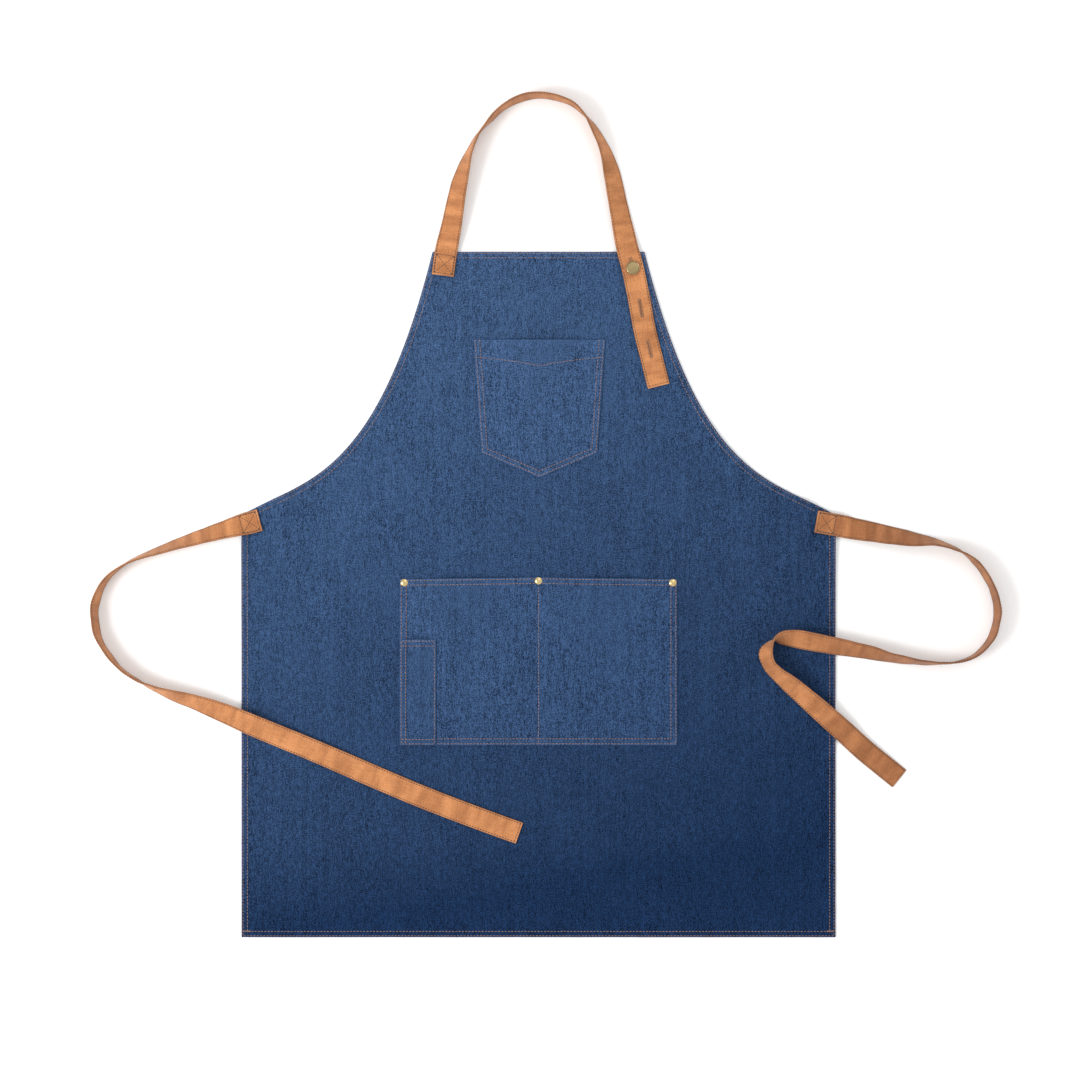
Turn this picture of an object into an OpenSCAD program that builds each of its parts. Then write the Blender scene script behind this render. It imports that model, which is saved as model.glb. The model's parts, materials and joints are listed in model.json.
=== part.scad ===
// Bib apron laid flat: denim panel with folded hems, three patch pockets,
// a canvas neck strap that buttons on, and two canvas waist ties.
// Origin: middle of the panel, on its back face. +Y towards the bib, +Z out of the front.

/* [Panel] */
// Width of the apron below the waist
apron_w = 650; // [630:10:680]
// Height from the bib's top edge to the bottom edge
apron_h = 750; // [740:10:780]
// Width of the bib's top edge
bib_w = 232; // [228:2:240]
// Height of the waist corners above the middle of the panel
waist_y = 87; // [80:1:95]
// Thickness of the denim
cloth_t = 0.9; // [0.7:0.1:1]
// Width of the folded hems
hem_w = 8; // [7:0.5:9]
// Thickness of the folded hems
hem_t = 2.2; // [2:0.1:2.4]

/* [Pockets] */
// Width of the chest pocket's mouth
chest_w = 144; // [130:2:150]
// Height of the chest pocket's sides
chest_h = 124; // [110:2:130]
// Drop of the chest pocket's point below its sides
chest_point = 27; // [20:1:30]
// Width of the lower pocket
lower_w = 304; // [290:2:310]
// Height of the lower pocket
lower_h = 182; // [170:2:190]
// Width of the pen pocket
pen_w = 40; // [36:1:44]
// Height of the pen pocket
pen_h = 116; // [100:2:120]
// Thickness of a pocket's cloth with its turned edge
pocket_t = 1.4; // [1:0.1:1.6]
// How far a pocket's mouth stands open
gape = 8; // [7:0.5:9]

/* [Straps] */
// Width of the straps
strap_w = 24.5; // [22:0.5:26]
// Thickness of the folded canvas
strap_t = 2; // [1.6:0.1:2.2]

/* [Fittings] */
// Diameter of the button
button_d = 15; // [14:0.5:17]
// Diameter of a rivet's cap
rivet_d = 8; // [7:0.5:9]

/* [Stitching] */
// Width of a row of stitches
thread_w = 0.8; // [0.6:0.1:1]
// Height of a row of stitches
thread_h = 0.4; // [0.3:0.1:0.5]

/* [Hidden] */

denim = [0.22, 0.33, 0.49];
pocket_denim = [0.26, 0.37, 0.53];
canvas = [0.78, 0.54, 0.35];
brass = [0.72, 0.62, 0.42];
thread = [0.66, 0.42, 0.28];

half_w = apron_w / 2;
half_h = apron_h / 2;
hem_rows = [1.6, 6.4];
pocket_rows = [1.6, 6];
far = 1000;
arm_steps = 24;
grid_u = 20;
grid_v = 10;
sewn_share = 0.06;
route_steps = 3;
$fn = 48;

// Levels above the table
front = cloth_t;
on_hem = hem_t + thread_h;
pocket_top = cloth_t + pocket_t;
layer_gap = 0.1;
stitch_gap = 0.2;
air = 0.3;

// Places on the front
chest_x = 1;
chest_top = 279;
lower_x = 0;
lower_bottom = -165;
mouth_rise = 2;
pen_x = -132;
rivet_x = 147;
rivet_y = 13;
rivet_mid_y = 15;
rivets = [[-rivet_x, rivet_y], [0, rivet_mid_y], [rivet_x, rivet_y]];
button_at = [103, half_h - 18];

// Button and rivet fittings
post_r = 1.6;
running = 0.05;
tack_r = 5;
collar_r = 3;
shank_r = 1.2;
burr_r = rivet_d / 2;

// Where each strap leaves the apron, its heading, and the length that is sewn down
patch_l = 33;
neck_patch_at = [-104.5, half_h - 26];
neck_patch_turn = 83;
neck_patch_l = 26;
left_patch_at = [-half_w + 19.7, waist_y - 5.4];
left_turn = 196;
right_patch_at = [half_w - 21.4, waist_y - 7];
right_turn = -10.5;
button_end_at = [98.5, half_h - 1];
button_end_turn = -79.5;
button_end_l = 30;

// Strap routes: [x, y, tilt of the strap in degrees, height of its lower edge]
// The neck strap's are from the middle of the bib's top edge, a tie's from its waist corner
neck_route = [
    [-101, 3, 0, on_hem], [-95.9, 24.8, 20, 1], [-89.4, 58.8, 35, 0], [-83.4, 84.5, 50, 0],
    [-73.8, 111.4, 73, 0], [-58.5, 136.6, 89, 0], [-28.3, 162.7, 98, 0], [1.5, 169.8, 95, 0],
    [31.6, 163.1, 93, 0], [48.9, 149.8, 89, 0], [58.9, 137.4, 74, 0], [72.2, 111.7, 58, 0],
    [80, 85, 40, 0], [86, 55, 32, 0], [91.1, 30, 22, 1], [97, 3, 0, on_hem]
];
tail_route = [
    [104.6, -32.5, 0, on_hem + air], [110, -57, 0, on_hem + air],
    [114, -76, 0, on_hem + air], [118, -92, 0, front + 0.4],
    [124, -117, 0, front + 0.4], [131.5, -147, 0, front + 0.4]
];
left_route = [
    [-13, -15, 0, on_hem], [-25, -18.1, 44, 1.5], [-48, -25, 53, 0], [-69.8, -32, 61, 0],
    [-91.7, -39.7, 70, 0], [-110.2, -46.5, 79, 0], [-123.4, -52.4, 85, 0], [-139.3, -63.1, 93, 0],
    [-151.2, -77.3, 98.5, 0], [-157.6, -93.5, 100, 0], [-159.2, -109, 100, 0], [-156.8, -127.5, 97, 0],
    [-151.5, -140.8, 95, 0], [-143.4, -152.8, 92.5, 0], [-129.7, -168.6, 90, 0], [-112.3, -180.2, 88, 0],
    [-94.4, -189.2, 75, 0], [-72.8, -197.2, 59, 0], [-41.2, -207.6, 40, 0],
    [-14, -218.3, 24, on_hem + air], [20.9, -233.3, 11, on_hem + air], [42, -242, 0, front + 0.4],
    [84, -259.5, 7, front + 0.4], [207, -312, 0, front + 0.4], [304, -348, 0, front + 0.4]
];
right_route = [
    [12, -13.2, 0, on_hem], [41.9, -18.9, 27, 0], [80, -25.7, 50, 0], [109.2, -29.8, 73, 0],
    [136.3, -39.9, 84, 0], [152.2, -52.3, 95, 0], [162.9, -66.9, 98, 0], [171, -82.7, 97, 0],
    [175.5, -102.1, 100, 0], [173.5, -120.2, 100, 0], [167.5, -135.7, 98, 0], [152.5, -152.1, 92, 0],
    [131, -160.2, 89, 0], [104, -161.6, 83, 0], [71, -157.6, 68, 0], [38.3, -150.2, 53, 0],
    [18.5, -146.6, 45, 2], [2.6, -143.6, 39, on_hem + air], [-27.5, -138, 33, on_hem + air],
    [-45, -135, 37, front + 0.4], [-60.6, -133.9, 54, front + 0.4],
    [-69.5, -136.6, 88, front + 0.4], [-77.6, -149.9, 121, front + 0.4],
    [-73.9, -163.5, 123, front + 0.4], [-65.4, -172.6, 127, front + 0.9], [-52.4, -183.2, 138, front + 0.9],
    [-28, -204.4, 153, on_hem + air], [8, -236, 168, on_hem + air], [33.5, -259, 174, 0.4],
    [70, -288.5, 180, 0]
];

function unit(v) = v / norm(v);
function turned(p) = [p.y, -p.x];
function curve(p, q, r, s, t) =
    p * (1 - t)^3 + q * 3 * t * (1 - t)^2 + r * 3 * t^2 * (1 - t) + s * t^3;
function smooth(p, q, r, s, t) =
    (q * 2 + (r - p) * t + (p * 2 - q * 5 + r * 4 - s) * t^2
    + (q * 3 - p - r * 3 + s) * t^3) / 2;

// The armhole's edge, from the bib's corner to the waist corner
arm = [for (i = [0:arm_steps]) curve(
    [bib_w / 2, half_h], [bib_w / 2 + 63, waist_y + 36],
    [half_w - 69, waist_y + 40], [half_w, waist_y], i / arm_steps)];
function arm_heading(i) = unit(arm[min(i + 1, arm_steps)] - arm[max(i - 1, 0)]);
function arm_inset(d) = [for (i = [0:arm_steps]) arm[i] + turned(arm_heading(i)) * d];
function flipped(points) =
    [for (i = [len(points) - 1:-1:0]) [-points[i].x, points[i].y]];

// The panel's outline moved in from its edges by d
module inset_outline(d) {
    side = concat([[bib_w / 2 - d, half_h]], arm_inset(d), [[half_w, waist_y - d], [half_w, -half_h]]);
    intersection() {
        polygon(concat(side, flipped(side)));
        translate([-half_w + d, -half_h + d]) square([apron_w - 2 * d, apron_h - 2 * d]);
    }
}

module hem_band() {
    difference() {
        inset_outline(0);
        inset_outline(hem_w);
    }
}

module top_strip() {
    translate([-far, half_h - hem_w]) square([2 * far, 2 * hem_w]);
}

module bottom_strip() {
    translate([-far, -half_h - hem_w]) square([2 * far, 2 * hem_w]);
}

module side_strip(side) {
    x = side > 0 ? half_w - hem_w : -half_w - hem_w;
    translate([x, -half_h + hem_w]) square([2 * hem_w, half_h + waist_y - 2 * hem_w]);
}

module half_plane(side) {
    translate([side > 0 ? 0 : -far, -far]) square([far, 2 * far]);
}

module side_hem(side) {
    color(denim) linear_extrude(hem_t) intersection() {
        hem_band();
        side_strip(side);
    }
}

module arm_hem(side) {
    color(denim) linear_extrude(hem_t) difference() {
        intersection() {
            hem_band();
            half_plane(side);
        }
        top_strip();
        bottom_strip();
        side_strip(side);
    }
}

module front_panel() {
    color(denim) difference() {
        linear_extrude(cloth_t) inset_outline(hem_w);
        for (at = rivets) translate([at.x, at.y, -1]) cylinder(h = 3, r = burr_r + running);
        translate([button_at.x, button_at.y, -1]) cylinder(h = 3, r = tack_r + running);
    }
}

module top_hem() {
    color(denim) linear_extrude(hem_t) intersection() {
        hem_band();
        top_strip();
    }
}

module bottom_hem() {
    color(denim) linear_extrude(hem_t) intersection() {
        hem_band();
        bottom_strip();
    }
}

// Closed sheet between a lower grid of points and the same grid raised by t
module grid_sheet(grid, t) {
    rows = len(grid);
    cols = len(grid[0]);
    count = rows * cols;
    points = concat(
        [for (row = grid) for (p = row) p],
        [for (row = grid) for (p = row) p + [0, 0, t]]);
    quads = concat(
        [for (j = [0:rows - 2]) for (i = [0:cols - 2]) let (a = j * cols + i)
            [a, a + 1, a + cols + 1, a + cols]],
        [for (j = [0:rows - 2]) for (i = [0:cols - 2]) let (a = count + j * cols + i)
            [a + cols, a + cols + 1, a + 1, a]],
        [for (i = [0:cols - 2]) [i + 1, i, count + i, count + i + 1]],
        [for (i = [0:cols - 2]) let (a = (rows - 1) * cols + i)
            [a, a + 1, count + a + 1, count + a]],
        [for (j = [0:rows - 2]) let (a = j * cols)
            [a, a + cols, count + a + cols, count + a]],
        [for (j = [0:rows - 2]) let (a = j * cols + cols - 1)
            [a + cols, a, count + a, count + a + cols]]);
    polyhedron(points, [for (q = quads) for (f = [[q[0], q[1], q[2]], [q[0], q[2], q[3]]]) f]);
}

// Rise of a pocket's cloth: u across one compartment, v from its bottom to its mouth.
// The cloth stays flat over the sewn share at each side.
function swell(u) = sin(180 * min(max((u - sewn_share) / (1 - 2 * sewn_share), 0), 1))^2;
function rise(u, v, height) = height * swell(u) * max(v, 0)^1.5;

function chest_half(v) = (chest_w - 17 * (1 - v)) / 2;
function chest_point_at(u, v) = let (
    low = chest_top - chest_h - chest_point * (1 - abs(2 * u - 1)))
    [chest_x + chest_half(v) * (2 * u - 1), low + (chest_top - low) * v];
module chest_pocket() {
    grid = [for (j = [0:grid_v]) [for (i = [0:grid_u]) let (
        u = i / grid_u, v = j / grid_v, p = chest_point_at(u, v))
        [p.x, p.y, front + rise(u, v, gape)]]];
    color(pocket_denim) grid_sheet(grid, pocket_t);
}

function compartment(x) = let (s = (x - lower_x) / (lower_w / 2)) s < 0 ? s + 1 : min(s, 1);
function lower_rise(x, y) =
    rise(compartment(x), (y - lower_bottom) / lower_h, gape);
module lower_pocket() {
    grid = [for (j = [0:grid_v]) [for (i = [0:2 * grid_u]) let (
        u = i / grid_u - 1, v = j / grid_v,
        x = lower_x + u * lower_w / 2, y = lower_bottom + lower_h * v)
        [x, y + mouth_rise * (1 - abs(u)) * v, front + lower_rise(x, y)]]];
    color(pocket_denim) difference() {
        grid_sheet(grid, pocket_t);
        for (at = rivets) translate([at.x, at.y, 0]) cylinder(h = 9, r = shank_r + running);
    }
}

function pen_base(x, y) = pocket_top + layer_gap + lower_rise(x, y)
    + rise((x - pen_x) / pen_w + 0.5, (y - lower_bottom) / pen_h, gape);
module pen_pocket() {
    grid = [for (j = [0:grid_v]) [for (i = [0:grid_u]) let (
        x = pen_x + pen_w * (i / grid_u - 0.5), y = lower_bottom + pen_h * j / grid_v)
        [x, y, pen_base(x, y)]]];
    color(pocket_denim) grid_sheet(grid, pocket_t);
}

// Strap along a route, standing on its lower edge where it is tilted
function strap_ring(a, b, c, side, origin) = let (
    heading = unit([c.x - a.x, c.y - a.y]),
    across = [-heading.y, heading.x] * side,
    tilt = b[2],
    w = [across.x * cos(tilt), across.y * cos(tilt), sin(tilt)] * strap_w / 2,
    n = [-across.x * sin(tilt), -across.y * sin(tilt), cos(tilt)] * strap_t / 2,
    lift = strap_w / 2 * abs(sin(tilt)) + strap_t / 2 * abs(cos(tilt)),
    m = [origin.x + b.x, origin.y + b.y, b[3] + lift])
    [m - w - n, m + w - n, m + w + n, m - w + n];

module strap(route, side, origin) {
    last = len(route) - 1;
    line = concat(
        [for (i = [0:last - 1]) for (k = [0:route_steps - 1])
            smooth(route[max(i - 1, 0)], route[i], route[i + 1], route[min(i + 2, last)],
                k / route_steps)],
        [route[last]]);
    n = len(line) - 1;
    rings = [for (i = [0:n])
        strap_ring(line[max(i - 1, 0)], line[i], line[min(i + 1, n)], side, origin)];
    sides = [for (i = [0:n - 1]) for (k = [0:3]) let (
        a = 4 * i + k, b = 4 * i + (k + 1) % 4)
        for (f = [[a, b, b + 4], [a, b + 4, a + 4]]) f];
    faces = concat([[3, 2, 1, 0]], [[4 * n, 4 * n + 1, 4 * n + 2, 4 * n + 3]], sides);
    polyhedron(
        [for (r = rings) for (p = r) p],
        side > 0 ? [for (f = faces) [for (i = [len(f) - 1:-1:0]) f[i]]] : faces);
}

// Straight length of strap lying flat, from the point at and on along turn
module flat_strap(at, turn, length, level) {
    translate([at.x, at.y, level]) rotate(turn)
        translate([0, -strap_w / 2, 0]) cube([length, strap_w, strap_t]);
}

module neck_strap_sewn_end() {
    color(canvas) flat_strap(neck_patch_at, neck_patch_turn, neck_patch_l, on_hem);
}

module neck_strap_loop() {
    color(canvas) strap(neck_route, -1, [0, half_h]);
}

module neck_strap_button_end() {
    color(canvas) difference() {
        flat_strap(button_end_at, button_end_turn, button_end_l, on_hem);
        translate([button_at.x, button_at.y, 0]) {
            cylinder(h = 9, r = post_r + 0.2);
            rotate(button_end_turn) translate([-8, -0.4, 0]) cube([16, 0.8, 9]);
        }
    }
}

module neck_strap_tail() {
    color(canvas) strap(tail_route, -1, [0, half_h]);
}

module left_tie_sewn_end() {
    color(canvas) flat_strap(left_patch_at, left_turn, patch_l, on_hem);
}

module left_waist_tie() {
    color(canvas) strap(left_route, 1, [-half_w, waist_y]);
}

module right_tie_sewn_end() {
    color(canvas) flat_strap(right_patch_at, right_turn, patch_l, on_hem);
}

module right_waist_tie() {
    color(canvas) strap(right_route, -1, [half_w, waist_y]);
}

// Flat-domed cap with a rolled rim, turning on the tack's post
module button_cap() {
    r = button_d / 2;
    base = on_hem + strap_t + 0.6;
    color(brass) translate([button_at.x, button_at.y, base]) rotate_extrude() polygon([
        [post_r + running, 0], [r * 0.55, 0], [r * 0.6, 0.9], [r - 0.5, 0.9], [r, 1.4], [r, 2.2],
        [r - 0.5, 2.8], [r - 1.2, 2.8], [r - 1.7, 2.3], [r * 0.5, 2.6], [0, 2.7], [0, 1.8],
        [post_r + running, 1.8]
    ]);
}

// Back button, post and collar that hold the cap to the bib
module button_tack() {
    color(brass) translate([button_at.x, button_at.y, 0]) union() {
        cylinder(h = cloth_t, r = tack_r);
        cylinder(h = on_hem + strap_t + 2.2, r = post_r);
        translate([0, 0, on_hem + strap_t]) cylinder(h = 0.5, r = collar_r);
    }
}

module rivet_cap(at) {
    r = rivet_d / 2;
    color(brass) translate([at.x, at.y, pocket_top + 0.15]) rotate_extrude() polygon([
        [0, -1.9], [shank_r, -1.9], [shank_r, 0], [r, 0], [r, 0.4], [r * 0.9, 0.8],
        [r * 0.6, 1.2], [r * 0.3, 1.35], [0, 1.4]
    ]);
}

module rivet_burr(at) {
    color(brass) translate([at.x, at.y, 0]) difference() {
        cylinder(h = cloth_t, r = burr_r);
        translate([0, 0, 0.3]) cylinder(h = 1, r = shank_r + running);
    }
}

// One row of stitches round the panel, d in from its edge
module hem_row(d) {
    difference() {
        inset_outline(d);
        inset_outline(d + thread_w);
    }
}

module bartack(x) {
    translate([x - 4, -half_h + 5.5]) square([8, 1.2]);
}

module hem_stitching() {
    color(thread) translate([0, 0, hem_t]) linear_extrude(thread_h) union() {
        for (d = hem_rows) hem_row(d);
        bartack(-half_w + 5.6);
        bartack(half_w - 5.6);
    }
}

module chest_outline(d) {
    shrink = d / chest_w * 2;
    polygon([for (c = [[0, 1], [1, 1], [1, 0], [0.5, 0], [0, 0]])
        let (p = chest_point_at(c[0], c[1]), low = c[1] == 0 ? d * 1.05 : 0)
        [chest_x + (p.x - chest_x) * (1 - shrink), p.y + low]]);
}

module chest_pocket_stitching() {
    color(thread) translate([0, 0, pocket_top + stitch_gap]) linear_extrude(thread_h)
        for (d = pocket_rows) difference() {
            chest_outline(d);
            translate([0, 0.01]) chest_outline(d + thread_w);
        }
}

module bar(x0, y0, x1, y1) {
    translate([x0, y0]) square([x1 - x0, y1 - y0]);
}

module lower_pocket_stitching() {
    w = lower_w / 2;
    top = lower_bottom + lower_h;
    color(thread) translate([0, 0, pocket_top + stitch_gap]) linear_extrude(thread_h)
        difference() {
            union() {
                for (d = pocket_rows) {
                    bar(-w + d, lower_bottom + d, -w + d + thread_w, top - 12);
                    bar(w - d - thread_w, lower_bottom + d, w - d, top - 12);
                    bar(-w + d, lower_bottom + d, w - d, lower_bottom + d + thread_w);
                }
                bar(-thread_w / 2, lower_bottom + pocket_rows[0],
                    thread_w / 2, rivet_mid_y - rivet_d);
            }
            bar(pen_x - pen_w / 2 - 1, lower_bottom - 1,
                pen_x + pen_w / 2 + 1, lower_bottom + pen_h + 1);
        }
}

// Row of stitches up the pen pocket, following its swell
module pen_row(x) {
    color(thread) grid_sheet([for (j = [0:grid_v]) let (
        y = lower_bottom + pocket_rows[0] + (pen_h - 2 * pocket_rows[0]) * j / grid_v,
        base = pen_base(x + thread_w / 2, y) + pocket_t + stitch_gap)
        [for (side = [0, 1]) [x + side * thread_w, y, base]]], thread_h);
}

module pen_pocket_stitching() {
    for (d = pocket_rows) pen_row(pen_x - pen_w / 2 + d);
    pen_row(pen_x + pen_w / 2 - pocket_rows[0] - thread_w);
}

// Box with a cross in it, sewn through a strap's end
module box_cross(length, width) {
    diagonal = norm([length, width]);
    slope = atan2(width, length);
    difference() {
        square([length, width], center = true);
        square([length - 2 * thread_w, width - 2 * thread_w], center = true);
    }
    for (turn = [slope, -slope]) rotate(turn)
        square([diagonal - 2 * thread_w, thread_w], center = true);
}

module patch_stitching(at, turn, length) {
    color(thread) translate([at.x, at.y, on_hem + strap_t]) rotate(turn)
        translate([2 + length / 2, 0, 0]) linear_extrude(thread_h)
            box_cross(length, strap_w - 4);
}

front_panel();
top_hem();
bottom_hem();
side_hem(-1);  // left_side_hem
side_hem(1);  // right_side_hem
arm_hem(-1);  // left_arm_hem
arm_hem(1);  // right_arm_hem
chest_pocket();
lower_pocket();
pen_pocket();
neck_strap_sewn_end();
neck_strap_loop();
neck_strap_button_end();
neck_strap_tail();
left_tie_sewn_end();
left_waist_tie();
right_tie_sewn_end();
right_waist_tie();
button_cap();
button_tack();
rivet_cap(rivets[0]);  // rivet_cap_left
rivet_cap(rivets[1]);  // rivet_cap_centre
rivet_cap(rivets[2]);  // rivet_cap_right
rivet_burr(rivets[0]);  // rivet_burr_left
rivet_burr(rivets[1]);  // rivet_burr_centre
rivet_burr(rivets[2]);  // rivet_burr_right
hem_stitching();
chest_pocket_stitching();
lower_pocket_stitching();
pen_pocket_stitching();
patch_stitching(neck_patch_at, neck_patch_turn, 22);  // neck_patch_stitching
patch_stitching(left_patch_at, left_turn, 17);  // left_tie_patch_stitching
patch_stitching(right_patch_at, right_turn, 17);  // right_tie_patch_stitching
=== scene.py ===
import json
import math

import bmesh
import bpy
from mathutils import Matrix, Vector, noise


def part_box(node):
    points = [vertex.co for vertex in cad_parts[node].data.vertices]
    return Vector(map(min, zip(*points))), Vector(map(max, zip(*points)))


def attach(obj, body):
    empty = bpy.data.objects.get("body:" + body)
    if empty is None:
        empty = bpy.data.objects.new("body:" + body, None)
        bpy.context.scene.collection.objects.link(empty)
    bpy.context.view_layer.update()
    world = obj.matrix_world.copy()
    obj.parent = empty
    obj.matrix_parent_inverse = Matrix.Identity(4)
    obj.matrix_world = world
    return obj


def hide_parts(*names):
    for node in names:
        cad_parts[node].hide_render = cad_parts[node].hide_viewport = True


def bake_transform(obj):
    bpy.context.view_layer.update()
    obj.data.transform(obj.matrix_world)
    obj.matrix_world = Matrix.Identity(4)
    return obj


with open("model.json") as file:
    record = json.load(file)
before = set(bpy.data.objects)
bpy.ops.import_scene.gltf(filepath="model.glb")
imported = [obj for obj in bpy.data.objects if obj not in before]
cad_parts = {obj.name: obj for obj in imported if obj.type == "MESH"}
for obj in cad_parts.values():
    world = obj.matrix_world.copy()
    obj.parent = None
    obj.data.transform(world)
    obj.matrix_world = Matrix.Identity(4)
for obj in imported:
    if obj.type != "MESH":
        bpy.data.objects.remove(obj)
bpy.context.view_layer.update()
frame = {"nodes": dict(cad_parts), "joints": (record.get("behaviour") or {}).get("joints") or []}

bl_info = {
    "name": "Bib Apron",
    "version": (1, 0, 0),
    "blender": (4, 5, 0),
    "location": "View3D > Sidebar > Apron",
    "description": "Builds a denim bib apron with canvas straps, pockets, rivets and stitching",
    "category": "Add Mesh",
}

# ---------------------------------------------------------------- sizes, in metres

MM = 0.001
PANEL_LOW, PANEL_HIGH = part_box("bottom_hem")[0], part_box("top_hem")[1]
HALF_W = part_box("bottom_hem")[1][0]
BOTTOM = PANEL_LOW[1]
TOP = PANEL_HIGH[1]
BIB_HALF = 0.116
WAIST_Y = 0.087
CLOTH = 0.0009
HEM_RISE = 0.0014
STRAP_W = 0.0245
STRAP_T = 0.002
TIE_TWIST = 0.084
RIVETS = ("left", "centre", "right")
TAU = 2 * math.pi


def box_middle(node):
    """Middle (x, y) of a node of the frame, seen from above."""
    low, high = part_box(node)
    return (low[0] + high[0]) / 2, (low[1] + high[1]) / 2


RIVET_AT = [box_middle("rivet_cap_" + name) for name in RIVETS]
BUTTON_AT = box_middle("button_cap")

# Strap routes, (x, y, tilt in degrees): the sewn end first. A tilted strap stands on its
# lower edge. The neck strap is placed from the middle of the bib's top edge, each tie from
# its waist corner.
NECK_ROUTE = [
    (-104.7, -26, 0), (-101.3, -1, 0), (-95.9, 24.8, 20), (-89.4, 58.8, 35), (-83.4, 84.5, 50),
    (-73.8, 111.4, 73), (-58.5, 136.6, 89), (-28.3, 162.7, 98), (1.5, 169.8, 95),
    (31.6, 163.1, 93), (48.9, 149.8, 89), (58.9, 137.4, 74), (72.2, 111.7, 58), (80, 85, 40),
    (86, 55, 32), (91.1, 30, 22), (97.2, 3, 7), (103, -18, 0), (110, -52, 0), (116, -85, 0),
    (124, -117, 0), (131.5, -147, 0),
]
LEFT_ROUTE = [
    (20, -5.5, 0), (9, -8.5, 1), (-3, -11.8, 19), (-25, -18.3, 42), (-48, -25, 53), (-69.8, -32, 61),
    (-91.7, -39.7, 70), (-110.2, -46.5, 79), (-123.4, -52.4, 85), (-139.3, -63.1, 93),
    (-151.2, -77.3, 98.5), (-157.6, -93.5, 100), (-159.2, -109, 100), (-156.8, -127.5, 97),
    (-151.5, -140.8, 95), (-143.4, -152.8, 92.5), (-129.7, -168.6, 90), (-112.3, -180.2, 88),
    (-94.4, -189.2, 75), (-72.8, -197.2, 59), (-41.2, -207.6, 40), (-10.3, -219.9, 23),
    (20.9, -233.3, 11), (84, -259.5, 7), (145, -286, 0), (207, -312, 0), (276, -338, 0),
    (304, -348, 0),
]
RIGHT_ROUTE = [
    (-21.4, -7, 0), (3, -11.5, 0), (21.9, -15.4, 14), (41.9, -18.9, 27), (80, -25.7, 50),
    (109.2, -29.8, 73), (136.3, -39.9, 84), (152.2, -52.3, 95), (162.9, -66.9, 98),
    (171, -82.7, 97), (175.5, -102.1, 100), (173.5, -120.2, 100), (167.5, -135.7, 98),
    (152.5, -152.1, 92), (131, -160.2, 89), (104, -161.6, 83), (71, -157.6, 68),
    (38.3, -150.2, 53), (18.5, -146.6, 45), (-2.3, -142.8, 38), (-27.5, -138, 33),
    (-45, -135, 37), (-60.6, -133.9, 54), (-69.5, -136.6, 88), (-77.6, -149.9, 121),
    (-73.9, -163.5, 123), (-65.4, -172.6, 127), (-52.4, -183.2, 138), (-23, -208.5, 156),
    (8, -236, 168), (33.5, -259, 174), (70, -288.5, 180),
]


# ---------------------------------------------------------------- the cloth's outline

def curve_point(a, b, c, d, t):
    """Point at t on the cubic curve through the corners a, b, c and d."""
    s = 1 - t
    return tuple(
        a[k] * s**3 + 3 * b[k] * t * s**2 + 3 * c[k] * t**2 * s + d[k] * t**3 for k in (0, 1)
    )


ARM = [
    curve_point(
        (BIB_HALF, TOP),
        (BIB_HALF + 0.063, WAIST_Y + 0.036),
        (HALF_W - 0.069, WAIST_Y + 0.040),
        (HALF_W, WAIST_Y),
        i / 80,
    )
    for i in range(81)
]


def arm_table(step):
    """Half width and slant of the panel at even steps down from its top edge."""
    table = []
    k = 0
    count = round((TOP - WAIST_Y) / step)
    for i in range(count + 1):
        y = TOP - (TOP - WAIST_Y) * i / count
        while k < len(ARM) - 2 and ARM[k + 1][1] > y:
            k += 1
        (x0, y0), (x1, y1) = ARM[k], ARM[k + 1]
        x = x0 + (x1 - x0) * (y0 - y) / (y0 - y1)
        table.append((x, math.hypot(x1 - x0, y1 - y0) / (y0 - y1)))
    return table


ARM_TABLE = arm_table(0.0005)


def half_width(y):
    """Half the panel's width at height y, and how much wider a slanted hem is when measured across."""
    if y <= WAIST_Y:
        return HALF_W, 1.0
    f = min((TOP - y) / (TOP - WAIST_Y) * (len(ARM_TABLE) - 1), len(ARM_TABLE) - 1.001)
    f = max(f, 0)
    i = int(f)
    a, b = ARM_TABLE[i], ARM_TABLE[i + 1]
    return a[0] + (b[0] - a[0]) * (f - i), a[1] + (b[1] - a[1]) * (f - i)


def edge_distance(x, y):
    """Distance from a point on the panel to its nearest edge."""
    x = abs(x)
    near = min(HALF_W - x, TOP - y, y - BOTTOM)
    if y > WAIST_Y:
        half, slant = half_width(y)
        near = min(near, (half - x) / slant)
    elif y > WAIST_Y - 0.03:
        near = min(near, (HALF_W - x) * 0.501 + (WAIST_Y - y) * 0.865)
    return max(near, 0.0)


def on_panel(x, y):
    """Whether a point is inside the panel's outline."""
    return BOTTOM < y < TOP and abs(x) < half_width(y)[0]


def ease(t):
    """Smooth step from 0 to 1 as t goes from 0 to 1."""
    t = min(max(t, 0), 1)
    return t * t * (3 - 2 * t)


def flat_spots(x, y):
    """0 at a rivet or the button, where the layers are pressed flat, and 1 away from them."""
    near = min(math.hypot(x - px, y - py) for px, py in RIVET_AT + [BUTTON_AT])
    return ease((near - 0.008) / 0.03)


def wrinkle(x, y):
    """Height of the panel's soft unevenness above the table."""
    broad = noise.noise(Vector((x * 7 + 3, y * 5, 0.3)))
    fine = noise.noise(Vector((x * 22, y * 17 + 5, 1.7)))
    edge = math.exp(-edge_distance(x, y) / 0.03)
    pucker = noise.noise(Vector((x * 60, y * 60, 4.1))) * edge
    drag = noise.noise(Vector(((x + y) * 34, (x - y) * 6, 7.7)))
    upright = noise.noise(Vector((x * 26 + 2 * broad, y * 5, 3.3)))
    height = 0.0009 * max(broad, 0) + 0.0004 * max(fine, 0) + 0.0006 * max(pucker, 0)
    height += 0.0003 * max(drag, 0) + 0.0008 * max(upright, 0) + pull(x, y)
    return height * flat_spots(x, y)


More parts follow.
